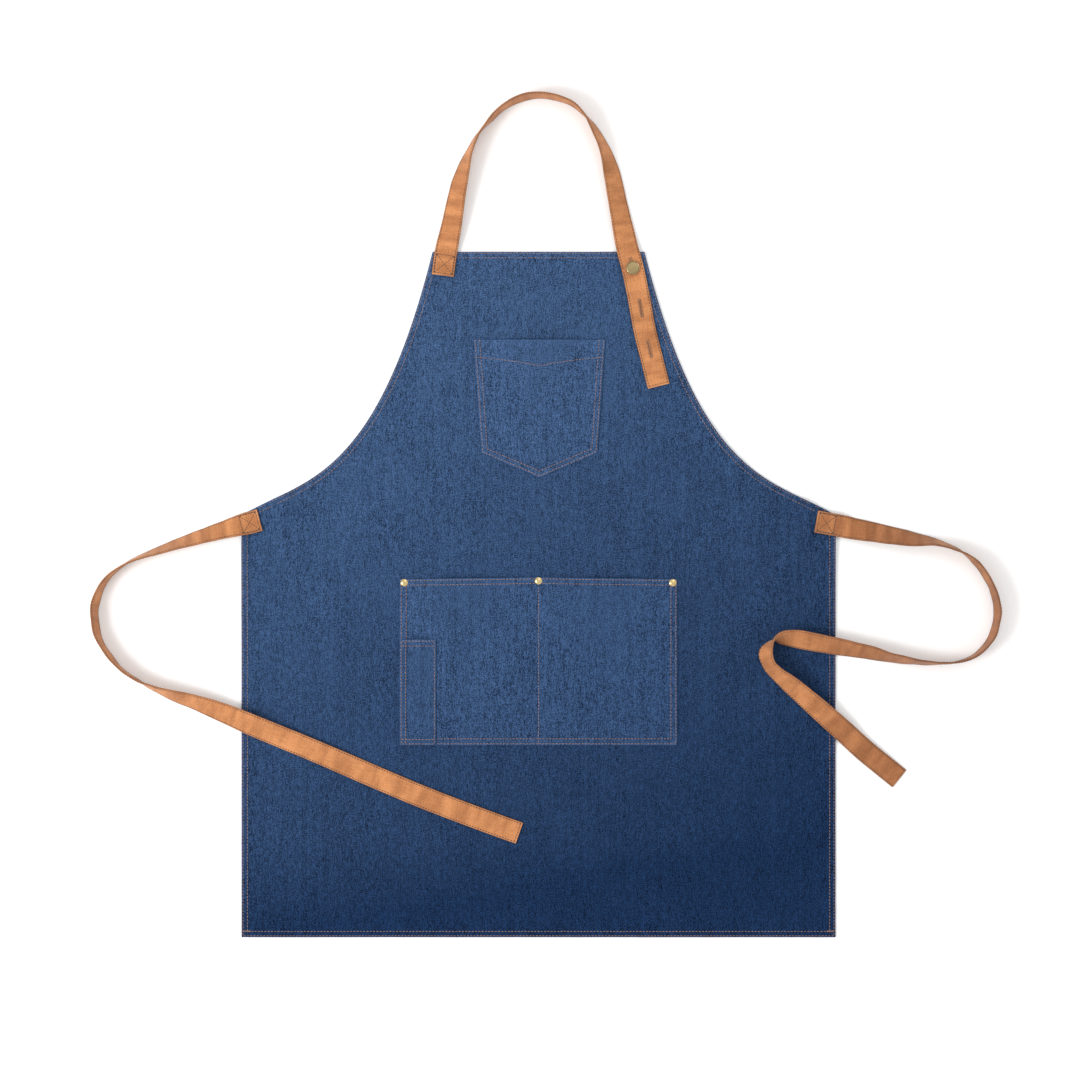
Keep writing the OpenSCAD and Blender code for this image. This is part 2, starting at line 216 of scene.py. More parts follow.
def pull(x, y):
    """Folds that run from each waist corner down into the skirt."""
    dx, dy = HALF_W - abs(x), WAIST_Y - y
    reach = math.hypot(dx, dy)
    if reach > 0.22:
        return 0.0
    angle = math.atan2(dx, dy + 0.02)
    ridges = math.sin(angle * 8.5 + 1.1 + 9 * reach + (0.8 if x > 0 else 0.0))
    return 0.0034 * max(ridges, 0) ** 1.5 * ease(reach / 0.04) * ease(1 - reach / 0.22)


def hem_ripple(x, y, d):
    """Slanting ripples that sewing leaves along a hem."""
    along = y * 1.15 + x * (0.35 if y > WAIST_Y else 0.05)
    if y - BOTTOM < 0.012 or TOP - y < 0.012:
        along = x
    drift = 3 * noise.noise(Vector((x * 30, y * 30, 2)))
    wave = math.sin(TAU * (along + d * 0.7) / 0.0105 + drift)
    return wave * ease(1 - abs(d - 0.0045) / 0.0045)


def panel_top(x, y):
    """Height of the denim's front surface."""
    d = edge_distance(x, y)
    hem = HEM_RISE * (ease((0.0088 - d) / 0.0012) * 0.35 + ease((0.026 - d) / 0.019) * 0.65)
    rim = -0.0009 * max(1 - d / 0.0011, 0) ** 2
    return CLOTH + hem + rim + wrinkle(x, y) + 0.00012 * hem_ripple(x, y, d)


def panel_under(x, y):
    """Height of the panel's back surface, flat on the table under the hems."""
    d = edge_distance(x, y)
    if d < 0.0083:
        return 0.0007 * max(1 - d / 0.0011, 0) ** 2
    return max(panel_top(x, y) - CLOTH, 0.0)


# ---------------------------------------------------------------- mesh helpers

def finish_mesh(bm, name, material, smooth=True):
    """Turns a bmesh into a scene object with its material, and frees it."""
    for face in bm.faces:
        face.smooth = smooth
    mesh = bpy.data.meshes.new(name)
    bm.to_mesh(mesh)
    bm.free()
    piece = bpy.data.objects.new(name, mesh)
    bpy.context.scene.collection.objects.link(piece)
    mesh.materials.append(material)
    return piece


def mapped_grid(columns, rows, place):
    """Grid of quads whose vertex (i, j) is moved to place(i, j)."""
    bm = bmesh.new()
    bmesh.ops.create_grid(bm, x_segments=columns, y_segments=rows, size=1)
    for v in bm.verts:
        i = round((v.co.x + 1) / 2 * columns)
        j = round((v.co.y + 1) / 2 * rows)
        v.co = place(i, j)
    return bm


def give_back(bm, under):
    """Adds the back of a sheet, with height under(x, y), and closes its edge."""
    copies = bmesh.ops.duplicate(bm, geom=bm.verts[:] + bm.edges[:] + bm.faces[:])
    back_faces = [g for g in copies["geom"] if isinstance(g, bmesh.types.BMFace)]
    for v in (g for g in copies["geom"] if isinstance(g, bmesh.types.BMVert)):
        v.co.z = under(v.co.x, v.co.y)
    bmesh.ops.reverse_faces(bm, faces=back_faces)
    rim = [e for e in bm.edges if len(e.link_faces) == 1]
    bmesh.ops.bridge_loops(bm, edges=rim)
    bmesh.ops.recalc_face_normals(bm, faces=bm.faces[:])


def edge_steps(offsets, inner):
    """Positions across a sheet: fine steps near both edges and even ones between."""
    count = len(offsets)

    def across(i, half, slant=1.0):
        """Distance from the middle of column i on a sheet of that half width."""
        total = 2 * count + inner
        if i < count:
            return -half + offsets[i] * slant
        if i > total - count:
            return half - offsets[total - i] * slant
        reach = half - offsets[-1] * slant
        return -reach + 2 * reach * (i - count + 1) / (inner + 2)

    return across


def wear_layer(bm, amount):
    """Vertex values that say how faded the cloth is, for the material."""
    layer = bm.verts.layers.float.new("wear")
    for v in bm.verts:
        v[layer] = amount(v.co.x, v.co.y)


def spun(name, at, base, profile, finish, steps=48):
    """A turned metal piece: a profile of (radius, height) points in mm spun about its axis."""
    bm = bmesh.new()
    points = [bm.verts.new((at[0] + r * MM, at[1], base + z * MM)) for r, z in profile]
    edges = [bm.edges.new(pair) for pair in zip(points, points[1:])]
    bmesh.ops.spin(
        bm, geom=points + edges, cent=(at[0], at[1], base), axis=(0, 0, 1), angle=TAU,
        steps=steps, use_merge=True)
    bmesh.ops.remove_doubles(bm, verts=bm.verts[:], dist=1e-6)
    bmesh.ops.recalc_face_normals(bm, faces=bm.faces[:])
    return finish_mesh(bm, name, material(finish))


# ---------------------------------------------------------------- straps

def smooth_route(route, corner, steps=8):
    """Points (x, y, tilt) in metres and degrees along the smooth curve through the route."""
    points = [(corner[0] + x * MM, corner[1] + y * MM, tilt) for x, y, tilt in route]
    line = []
    for i in range(len(points) - 1):
        p, q, r, s = (points[min(max(i + k, 0), len(points) - 1)] for k in (-1, 0, 1, 2))
        for n in range(steps):
            t = n / steps
            line.append(
                tuple(
                    (
                        2 * q[k]
                        + (r[k] - p[k]) * t
                        + (2 * p[k] - 5 * q[k] + 4 * r[k] - s[k]) * t * t
                        + (3 * q[k] - p[k] - 3 * r[k] + s[k]) * t**3
                    )
                    / 2
                    for k in (0, 1, 2)
                )
            )
    line.append(points[-1])
    return line


class Strap:
    """A flat canvas strap laid along a route: gives the point at any place on it."""

    def __init__(self, route, corner, side, seed, step=0.002):
        line = smooth_route(route, corner)
        self.side = side
        self.seed = seed
        lengths = [0.0]
        for a, b in zip(line, line[1:]):
            lengths.append(lengths[-1] + math.hypot(b[0] - a[0], b[1] - a[1]))
        self.length = lengths[-1]
        self.count = round(self.length / step)
        self.step = self.length / self.count
        self.line = []
        k = 0
        for i in range(self.count + 1):
            s = i * self.step
            while k < len(line) - 2 and lengths[k + 1] < s:
                k += 1
            t = (s - lengths[k]) / (lengths[k + 1] - lengths[k])
            self.line.append([a + (b - a) * t for a, b in zip(line[k], line[k + 1])])
        self.set_headings()
        self.set_ground()

    def set_headings(self):
        """Direction that the strap runs in at each step."""
        self.heading = []
        last = self.count
        for i in range(last + 1):
            a, b = self.line[max(i - 1, 0)], self.line[min(i + 1, last)]
            dx, dy = b[0] - a[0], b[1] - a[1]
            self.heading.append((dx / math.hypot(dx, dy), dy / math.hypot(dx, dy)))

    def set_ground(self):
        """Height that the strap's lower edge rests on, evened out as stiff cloth does."""
        raw = []
        for (x, y, tilt), (hx, hy) in zip(self.line, self.heading):
            reach = STRAP_W / 2 * math.cos(math.radians(tilt)) * self.side
            spots = [(x - hy * reach * f, y + hx * reach * f) for f in (-0.95, -0.4, 0.2, 0.95)]
            raw.append(max(panel_top(*p) if on_panel(*p) else 0.0 for p in spots))
        wide = 4
        tops = [max(raw[max(i - wide, 0) : i + wide + 1]) for i in range(len(raw))]
        self.ground = []
        for i in range(len(raw)):
            near = tops[max(i - wide, 0) : i + wide + 1]
            self.ground.append(max(sum(near) / len(near), raw[i]) + 0.00012)

    def frame(self, s):
        """Middle point, across and up directions at s along the strap."""
        f = min(max(s / self.step, 0), self.count)
        i = min(int(f), self.count - 1)
        t = f - i
        a, b = self.line[i], self.line[i + 1]
        x, y, tilt = (a[k] + (b[k] - a[k]) * t for k in (0, 1, 2))
        hx, hy = (self.heading[i][k] * (1 - t) + self.heading[i + 1][k] * t for k in (0, 1))
        size = math.hypot(hx, hy)
        hx, hy = hx / size, hy / size
        ground = self.ground[i] * (1 - t) + self.ground[i + 1] * t
        free = 1 - math.exp(-((ground / 0.0012) ** 2))
        tilt += 3.0 * noise.noise(Vector((s * 14, self.seed, 0))) * (1 - free)
        angle = math.radians(tilt)
        c, d = math.cos(angle), math.sin(angle)
        ax, ay = -hy * self.side, hx * self.side
        across = Vector((ax * c, ay * c, d))
        up = Vector((-ax * d, -ay * d, c))
        lift = STRAP_W / 2 * (math.sqrt(d * d + 0.0009) - 0.03) + STRAP_T / 2 * abs(c)
        return Vector((x, y, ground + lift)), across, up

    def point(self, s, across, up):
        """Point at s along, across from the middle and up from the strap's middle layer."""
        middle, w, n = self.frame(s)
        slant = s + across * 0.5
        crease = noise.noise(Vector((slant * 58, across * 22, self.seed)))
        fold = noise.noise(Vector((slant * 34, across * 6, self.seed + 9)))
        sag = noise.noise(Vector((s * 16, across * 9, self.seed + 5)))
        lift = 0.0006 * crease + 0.0013 * max(fold, 0) + 0.0005 * abs(sag)
        return middle + w * across + n * (up + lift)

    def nearest(self, x, y):
        """Length along the strap of its point nearest to (x, y)."""
        gaps = [math.hypot(px - x, py - y) for px, py, _ in self.line]
        return gaps.index(min(gaps)) * self.step


SECTION_STEPS = 14


def strap_section(k):
    """Across and up of point k round the strap's cross-section, with soft edges and sewn grooves."""
    ring = 2 * SECTION_STEPS
    k = k % ring
    top = k <= SECTION_STEPS
    f = math.sin(-math.pi / 2 + math.pi * (k if top else ring - k) / SECTION_STEPS)
    up = STRAP_T / 2 * math.sqrt(max(1 - abs(f) ** 16, 0))
    groove = 0.00012 * math.exp(-(((abs(f) - 0.85) / 0.06) ** 2))
    return f * STRAP_W / 2, (up - groove) * (1 if top else -1)


def strap_piece(name, strap, start, end, material):
    """The stretch of a strap from start to end as one closed cloth band."""
    columns = max(round((end - start) / 0.0022), 4)
    ring = 2 * SECTION_STEPS

    def place(i, j):
        across, up = strap_section(j)
        return strap.point(start + (end - start) * i / columns, across, up)

    bm = bmesh.new()
    bmesh.ops.create_grid(bm, x_segments=columns, y_segments=ring, size=1)
    along = bm.verts.layers.float.new("along")
    over = bm.verts.layers.float.new("across")
    for v in bm.verts:
        i = round((v.co.x + 1) / 2 * columns)
        j = round((v.co.y + 1) / 2 * ring)
        v[along] = start + (end - start) * i / columns
        v[over] = strap_section(j)[0]
        v.co = place(i, j)
    bmesh.ops.remove_doubles(bm, verts=bm.verts[:], dist=1e-6)
    caps = bmesh.ops.holes_fill(bm, edges=[e for e in bm.edges if len(e.link_faces) == 1], sides=0)
    for face in caps["faces"]:
        for e in face.edges:
            e.smooth = False
    bmesh.ops.recalc_face_normals(bm, faces=bm.faces[:])
    return finish_mesh(bm, name, material)


# ---------------------------------------------------------------- stitches

# Stitch sizes are length, width and height.
EDGE_STITCH = (0.0025, 0.0010, 0.0007)
STITCH_SUNK = 0.0001
THREAD_H = 0.0007


def add_stitch(row, at, heading, normal, length, width, height):
    """Notes down one stitch: a small rounded bead of thread lying along heading."""
    x = Vector(heading).normalized()
    z = Vector(normal)
    z = (z - x * z.dot(x)).normalized()
    row.append((Vector(at), x * (length / 2), z.cross(x) * (width / 2), z * (height / 2)))


def thread_piece(row, name, finish):
    """All the stitches of a row as one piece."""
    bead_bm = bmesh.new()
    bmesh.ops.create_uvsphere(bead_bm, u_segments=6, v_segments=5, radius=1)
    bead_mesh = bpy.data.meshes.new(name + "_bead")
    bead_bm.to_mesh(bead_mesh)
    bead_bm.free()
    bead = [v.co.copy() for v in bead_mesh.vertices]
    bm = bmesh.new()
    for _ in row:
        bm.from_mesh(bead_mesh)
    bpy.data.meshes.remove(bead_mesh)
    for k, v in enumerate(bm.verts):
        at, x, y, z = row[k // len(bead)]
        p = bead[k % len(bead)]
        v.co = at + x * p.z + y * p.y + z * p.x
    bmesh.ops.recalc_face_normals(bm, faces=bm.faces[:])
    return finish_mesh(bm, name, material(finish))


def resample(path, pitch):
    """Middle and heading of each stitch along a path of (x, y) points."""
    total = sum(math.dist(a, b) for a, b in zip(path, path[1:]))
    count = max(round(total / pitch), 1)
    wanted = [(k + 0.5) * total / count for k in range(count)]
    out, walked = [], 0.0
    for a, b in zip(path, path[1:]):
        size = math.dist(a, b)
        while wanted and walked + size >= wanted[0]:
            t = (wanted.pop(0) - walked) / size
            middle = (a[0] + (b[0] - a[0]) * t, a[1] + (b[1] - a[1]) * t)
            out.append((middle, (b[0] - a[0], b[1] - a[1])))
        walked += size
    return out


def sew(row, path, height, pitch=0.0036, length=0.0026, width=0.00068):
    """A row of stitches along path on a surface of that height."""
    for k, ((x, y), (dx, dy)) in enumerate(resample(path, pitch)):
        wobble = 0.1 * math.sin(k * 2.4)
        step = 0.001
        slope_x = (height(x + step, y) - height(x - step, y)) / (2 * step)
        slope_y = (height(x, y + step) - height(x, y - step)) / (2 * step)
        size = math.hypot(dx, dy)
        rise = (slope_x * dx + slope_y * dy) / size
        heading = (dx / size - dy / size * wobble, dy / size + dx / size * wobble, rise)
        at = (x, y, height(x, y) + 0.00008)
        add_stitch(row, at, heading, (-slope_x, -slope_y, 1), length, width, THREAD_H)


def inset_path(points, d):
    """An open path moved to its right by d, with sharp corners."""
    out = []
    for i, p in enumerate(points):
        turns = []
        for a, b in ((i - 1, i), (i, i + 1)):
            if a >= 0 and b < len(points):
                dx, dy = points[b][0] - points[a][0], points[b][1] - points[a][1]
                size = math.hypot(dx, dy)
                turns.append((dy / size, -dx / size))
        nx = sum(t[0] for t in turns) / len(turns)
        ny = sum(t[1] for t in turns) / len(turns)
        scale = d / (nx * nx + ny * ny)
        out.append((p[0] + nx * scale, p[1] + ny * scale))
    return out


def strap_row(row, strap, start, end, across, pitch=0.0032, faces=(1, -1)):
    """A row of stitches along a strap, on one or both of its faces."""
    count = max(round((end - start) / pitch), 1)
    for k in range(count):
        s = start + (k + 0.5) * (end - start) / count
        ahead = strap.point(s + 0.001, across, 0) - strap.point(s - 0.001, across, 0)
        for face in faces:
            at = strap.point(s, across, face * (STRAP_T / 2 - STITCH_SUNK))
            add_stitch(row, at, ahead, strap.frame(s)[2], *EDGE_STITCH)


def strap_line(row, strap, s0, a0, s1, a1, pitch=0.0030):
    """Stitches on a strap's face along the straight line between two places on it."""
    count = max(round(math.hypot(s1 - s0, a1 - a0) / pitch), 1)
    for k in range(count):
        t, u = k / count, (k + 1) / count
        a = strap.point(s0 + (s1 - s0) * t, a0 + (a1 - a0) * t, STRAP_T / 2)
        b = strap.point(s0 + (s1 - s0) * u, a0 + (a1 - a0) * u, STRAP_T / 2)
        n = strap.frame(s0 + (s1 - s0) * t)[2]
        add_stitch(row, (a + b) / 2, b - a, n, (b - a).length * 0.82, 0.0008, 0.0006)


def box_and_cross(row, strap, start, length):
    """The box with a cross in it that holds a strap's sewn end."""
    edge = STRAP_W / 2 - 0.0024
    a, b = start + 0.0022, start + length
    corners = [(a, -edge), (b, -edge), (b, edge), (a, edge)]
    for (s0, a0), (s1, a1) in zip(corners, corners[1:] + corners[:1]):
        strap_line(row, strap, s0, a0, s1, a1)
    strap_line(row, strap, a, -edge, b, edge)
    strap_line(row, strap, a, edge, b, -edge)


# ---------------------------------------------------------------- materials

class Shader:
    """Small helper that wires up one material's nodes."""

    def __init__(self, name):
        self.material = bpy.data.materials.new(name)
        self.material.use_nodes = True
        self.tree = self.material.node_tree
        self.surface = self.tree.nodes["Principled BSDF"]

    def node(self, kind, **values):
        """A new node of that kind with those settings or input values."""
        made = self.tree.nodes.new(kind)
        for key, value in values.items():
            if hasattr(made, key):
                setattr(made, key, value)
            else:
                made.inputs[key.replace("_", " ")].default_value = value
        return made

    def link(self, out, to):
        self.tree.links.new(out, to)

    def object_coords(self, scale):
        """Coordinates fixed to the cloth or metal, scaled on each axis."""
        coords = self.node("ShaderNodeTexCoord")
        mapping = self.node("ShaderNodeMapping")
        mapping.inputs["Scale"].default_value = scale
        self.link(coords.outputs["Object"], mapping.inputs["Vector"])
        return mapping.outputs["Vector"]

    def position(self):
        """The X, Y and Z coordinates as separate outputs."""
        apart = self.node("ShaderNodeSeparateXYZ")
        coords = self.node("ShaderNodeTexCoord")
        self.link(coords.outputs["Object"], apart.inputs["Vector"])
        return apart.outputs

    def strap_coords(self, scale, turn=0.0):
        """Coordinates along and across a strap, turned by an angle."""
        joined = self.node("ShaderNodeCombineXYZ")
        for name, to in (("along", "X"), ("across", "Y")):
            found = self.node("ShaderNodeAttribute", attribute_name=name)
            self.link(found.outputs["Fac"], joined.inputs[to])
        mapping = self.node("ShaderNodeMapping")
        mapping.inputs["Scale"].default_value = scale
        mapping.inputs["Rotation"].default_value = (0, 0, turn)
        self.link(joined.outputs["Vector"], mapping.inputs["Vector"])
        return mapping.outputs["Vector"]

    def noise(self, vector, scale=1.0, detail=2.0, roughness=0.5):
        """Soft noise, from about 0.3 to 0.7 in the main."""
        made = self.node("ShaderNodeTexNoise")
        made.inputs["Scale"].default_value = scale
        made.inputs["Detail"].default_value = detail
        made.inputs["Roughness"].default_value = roughness
        self.link(vector, made.inputs["Vector"])
        return made.outputs["Fac"]

    def math(self, operation, a, b, clamp=False):
        """Result of a sum on two outputs or numbers."""
        made = self.node("ShaderNodeMath", operation=operation, use_clamp=clamp)
        for k, value in enumerate((a, b)):
            if isinstance(value, (int, float)):
                made.inputs[k].default_value = value
            else:
                self.link(value, made.inputs[k])
        return made.outputs[0]

    def add(self, tone, value, amount):
        """Tone with a share of another value added to it."""
        return self.math("ADD", tone, self.math("MULTIPLY", value, amount))

    def centred(self, value):
        """Noise moved to lie evenly about 0."""
        return self.math("SUBTRACT", value, 0.5)

    def remap(self, value, low, high, to_low=0.0, to_high=1.0):
        """Value stretched from one range to another, and held inside it."""
        made = self.node("ShaderNodeMapRange")
        self.link(value, made.inputs["Value"])
        for key, number in (("From Min", low), ("From Max", high), ("To Min", to_low), ("To Max", to_high)):
            made.inputs[key].default_value = number
        return made.outputs["Result"]

    def mix(self, factor, a, b, blend="MIX"):
        """Colour between a and b, or a blended with b."""
        made = self.node("ShaderNodeMix", data_type="RGBA", blend_type=blend)
        for socket, value in ((made.inputs[0], factor), (made.inputs[6], a), (made.inputs[7], b)):
            if isinstance(value, (int, float)):
                socket.default_value = value
            elif isinstance(value, (tuple, list)) or hasattr(value, "hsv"):
                socket.default_value = (*value[:3], 1)
            else:
                self.link(value, socket)
        return made.outputs[2]

    def bump(self, height, strength, distance):
        """Fine relief on the surface."""
        made = self.node("ShaderNodeBump")
        made.inputs["Strength"].default_value = strength
        made.inputs["Distance"].default_value = distance
        self.link(height, made.inputs["Height"])
        self.link(made.outputs["Normal"], self.surface.inputs["Normal"])


# Painted shade: the denim's colour darkens towards the skirt's foot over these two stretches of height, and
# towards its right side.
PAINTED_SHADE_FOOT = (BOTTOM + 0.01, BOTTOM + 0.11)
PAINTED_SHADE_BODY = (BOTTOM + 0.11, 0.33)
PAINTED_SHADE_SHARE = 0.68
PAINTED_SHADE_DEEPEST = (0.17, 0.27, 0.37)


def denim_material(name, dark, light, painted_shade=1.0):
    """Washed blue twill: slanting ribs, slubby warp yarns, pale flecks, faded edges, and painted shade
    darker towards the foot and the right side.
    """
    sh = Shader(name)
    ribs = sh.node("ShaderNodeTexWave", wave_type="BANDS", bands_direction="DIAGONAL")
    ribs.inputs["Scale"].default_value = 330.0
    ribs.inputs["Distortion"].default_value = 2.2
    ribs.inputs["Detail"].default_value = 2.0
    ribs.inputs["Detail Scale"].default_value = 1.5
    sh.link(sh.object_coords((1, 1, 1)), ribs.inputs["Vector"])
    warp = sh.noise(sh.object_coords((1250, 130, 200)), 1.0, 2.0, 0.6)
    yarn = sh.noise(sh.object_coords((1500, 900, 200)), 1.0, 1.0, 0.6)
    weft = sh.noise(sh.object_coords((150, 1000, 200)), 1.0, 2.0, 0.6)
    cloud = sh.noise(sh.object_coords((1, 1, 1)), 15.0, 4.0, 0.6)
    streak = sh.noise(sh.object_coords((170, 6, 40)), 1.0, 3.0, 0.6)
    tone = sh.math("MULTIPLY", sh.remap(warp, 0.42, 0.70), 0.50)
    tone = sh.add(tone, sh.remap(yarn, 0.45, 0.68), 1.00)
    tone = sh.add(tone, sh.remap(weft, 0.40, 0.68), 0.10)
    tone = sh.add(tone, ribs.outputs["Fac"], 0.10)
    tone = sh.add(tone, sh.centred(cloud), 0.30)
    tone = sh.add(tone, sh.centred(streak), 0.42)
    wear = sh.node("ShaderNodeAttribute", attribute_name="wear").outputs["Fac"]
    ragged = sh.math("MULTIPLY", wear, sh.remap(yarn, 0.3, 0.75, 0.35, 1.0))
    tone = sh.math("ADD", tone, ragged, clamp=True)
    colour = sh.mix(tone, dark, light)
    # Painted shade: the colour is darkened towards the skirt's foot and towards the right side.
    place = sh.position()
    foot = sh.remap(place["Y"], *PAINTED_SHADE_FOOT, 1 - 0.99 * painted_shade, 1 - PAINTED_SHADE_SHARE * painted_shade)
    body = sh.remap(place["Y"], *PAINTED_SHADE_BODY, 0.0, PAINTED_SHADE_SHARE * painted_shade)
    aside = sh.remap(place["X"], -HALF_W, HALF_W, 0.04, -0.34)
    shade = sh.math("ADD", sh.math("ADD", foot, body), aside, clamp=True)
    painted_shade_tint = sh.mix(shade, PAINTED_SHADE_DEEPEST, (1.0, 1.0, 1.0))
    colour = sh.mix(1.0, colour, painted_shade_tint, "MULTIPLY")
    sh.link(colour, sh.surface.inputs["Base Color"])
    sh.surface.inputs["Roughness"].default_value = 0.9
    sh.surface.inputs["Specular IOR Level"].default_value = 0.06
    sh.surface.inputs["Sheen Weight"].default_value = 0.02
    sh.surface.inputs["Sheen Roughness"].default_value = 0.4
    sh.surface.inputs["Sheen Tint"].default_value = (0.25, 0.4, 1.0, 1)
    relief = sh.math("ADD", sh.math("MULTIPLY", ribs.outputs["Fac"], 0.5), yarn)
    sh.bump(relief, 0.7, 0.0004)
    return sh.material


# Painted shade: the right tie, which lies past these places, is darkened as if it faced away from the
# light.
RIGHT_TIE_REACH = (0.26, 0.36)
RIGHT_TIE_PAINTED_SHADE = (0.69, 0.66, 0.66)


def canvas_material(name, body, edge):
    """Tan canvas: plain weave, faint stripes along the yarns, darker sewn edges, painted light and shade of
    creases, and painted shade on the right tie.
    """
    sh = Shader(name)
    weave = []
    for direction in ("X", "Y"):
        wave = sh.node("ShaderNodeTexWave", wave_type="BANDS", bands_direction=direction)
        wave.inputs["Scale"].default_value = 420.0
        wave.inputs["Distortion"].default_value = 0.7
        wave.inputs["Detail Scale"].default_value = 1.2
        sh.link(sh.strap_coords((1, 1, 1)), wave.inputs["Vector"])
        weave.append(wave.outputs["Fac"])
    cloth = sh.math("MULTIPLY", weave[0], weave[1])
    yarn = sh.noise(sh.strap_coords((90, 1300, 1)), 1.0, 3.0, 0.6)
    cross = sh.noise(sh.strap_coords((1300, 90, 1)), 1.0, 2.0, 0.6)
    cloud = sh.noise(sh.strap_coords((42, 38, 1)), 1.0, 3.0, 0.5)
    # Painted light and shade of soft creases slanting across the strap.
    crease = sh.noise(sh.strap_coords((78, 20, 1), 0.5), 1.0, 2.0, 0.45)
    grain = sh.noise(sh.strap_coords((900, 1000, 1)), 1.0, 1.0, 0.6)
    tone = sh.math("MULTIPLY", sh.remap(yarn, 0.36, 0.64), 0.30)
    tone = sh.add(tone, sh.remap(cross, 0.36, 0.64), 0.20)
    tone = sh.add(tone, sh.remap(grain, 0.38, 0.62, -0.1, 0.3), 1.0)
    tone = sh.add(tone, cloth, 0.2)
    tone = sh.add(tone, sh.centred(cloud), 0.9)
    # The crease bands darken and lighten the colour: painted shade and painted light.
    tone = sh.math("ADD", tone, sh.remap(crease, 0.34, 0.66, -0.34, 0.26), clamp=True)
    dark = (body[0] * 0.66, body[1] * 0.60, body[2] * 0.56)
    light = (min(body[0] * 1.26, 1), min(body[1] * 1.30, 1), min(body[2] * 1.34, 1))
    colour = sh.mix(tone, dark, light)
    over = sh.node("ShaderNodeAttribute", attribute_name="across").outputs["Fac"]
    aside = sh.remap(sh.math("ABSOLUTE", over, 0.0), 0.0114, 0.0122, 0.0, 0.7)
    colour = sh.mix(aside, colour, edge)
    # Painted shade on the right tie.
    right = sh.remap(sh.position()["X"], *RIGHT_TIE_REACH)
    colour = sh.mix(right, colour, sh.mix(1.0, colour, RIGHT_TIE_PAINTED_SHADE, "MULTIPLY"))
    sh.link(colour, sh.surface.inputs["Base Color"])
    sh.surface.inputs["Roughness"].default_value = 0.8
    sh.surface.inputs["Specular IOR Level"].default_value = 0.25
    sh.surface.inputs["Sheen Weight"].default_value = 0.1
    sh.bump(sh.math("ADD", cloth, yarn), 0.35, 0.0002)
    return sh.material


def thread_material(name, colour):
    """Copper-brown topstitching thread with its twist."""
    sh = Shader(name)
    speck = sh.noise(sh.object_coords((1, 1, 1)), 700.0, 2.0, 0.6)
    patch = sh.noise(sh.object_coords((1, 1, 1)), 28.0, 2.0, 0.5)
    tone = sh.math("ADD", sh.math("MULTIPLY", speck, 0.6), sh.math("MULTIPLY", patch, 0.4))
    shaded = tuple(c * 0.62 for c in colour)
    lit = tuple(min(c * 1.25, 1) for c in colour)
    mixed = sh.mix(sh.remap(tone, 0.35, 0.65), shaded, lit)
    sh.link(mixed, sh.surface.inputs["Base Color"])
    sh.surface.inputs["Roughness"].default_value = 0.55
    sh.surface.inputs["Sheen Weight"].default_value = 0.15
    sh.bump(speck, 0.3, 0.0001)
    return sh.material


def metal_material(name, colour, dull, roughness):
    """Brass with fine scratches and darker patina in patches."""
    sh = Shader(name)
    patina = sh.noise(sh.object_coords((1, 1, 1)), 420.0, 4.0, 0.6)
    scratch = sh.noise(sh.object_coords((400, 3500, 900)), 1.0, 2.0, 0.6)
    mixed = sh.mix(sh.remap(patina, 0.4, 0.75, 0.0, 0.6), colour, dull)
    sh.link(mixed, sh.surface.inputs["Base Color"])
    sh.surface.inputs["Metallic"].default_value = 1.0
    brushed = sh.remap(scratch, 0.3, 0.7, roughness * 0.75, roughness * 1.3)
    sh.link(brushed, sh.surface.inputs["Roughness"])
    sh.bump(scratch, 0.06, 0.00004)
    return sh.material


def plain_material(name, colour, roughness):
    """Matt surface with a faint unevenness."""
    sh = Shader(name)
    speck = sh.noise(sh.object_coords((1, 1, 1)), 900.0, 2.0, 0.5)
    mixed = sh.mix(speck, tuple(c * 0.9 for c in colour), colour)
    sh.link(mixed, sh.surface.inputs["Base Color"])
    sh.surface.inputs["Roughness"].default_value = roughness
    return sh.material


FINISHES = {}


def material(name):
    """A finish by name, made once from the panel's settings."""
    if name in FINISHES:
        return FINISHES[name]
    cloth = bpy.context.scene.apron_cloth
    trim = bpy.context.scene.apron_trim
    makers = {
        "denim": lambda: denim_material(name, cloth.dark, cloth.light),
        # The pockets carry 0.65 of the panel's painted shade.
        "pocket_denim": lambda: denim_material(name, cloth.pocket_dark, cloth.pocket_light, 0.65),
        "canvas": lambda: canvas_material(name, trim.canvas, trim.canvas_edge),
        "thread": lambda: thread_material(name, trim.thread),
        "strap_thread": lambda: thread_material(name, trim.strap_thread),
        "button_brass": lambda: metal_material(name, trim.button, (0.20, 0.15, 0.075), 0.40),
        "button_rim": lambda: metal_material(name, (0.40, 0.31, 0.17), (0.20, 0.15, 0.08), 0.30),
        "rivet_brass": lambda: metal_material(name, trim.rivet, (0.45, 0.33, 0.15), 0.20),
        "buttonhole_thread": lambda: thread_material(name, (0.30, 0.130, 0.056)),
        # Painted shadow: the dark colour of an open buttonhole's cut.
        "painted_slit_shadow": lambda: plain_material(name, (0.05, 0.032, 0.02), 0.95),
    }
    FINISHES[name] = makers[name]()
    return FINISHES[name]


# ---------------------------------------------------------------- pockets

POCKET_T = 0.0010
# Where a pocket's fine mesh lines lie near an edge.
POCKET_EDGES = [0.0, 0.0004, 0.001, 0.002, 0.0035, 0.005, 0.0062, 0.0073, 0.0082, 0.009, 0.012]
SEAM_RIPPLE = 0.0098


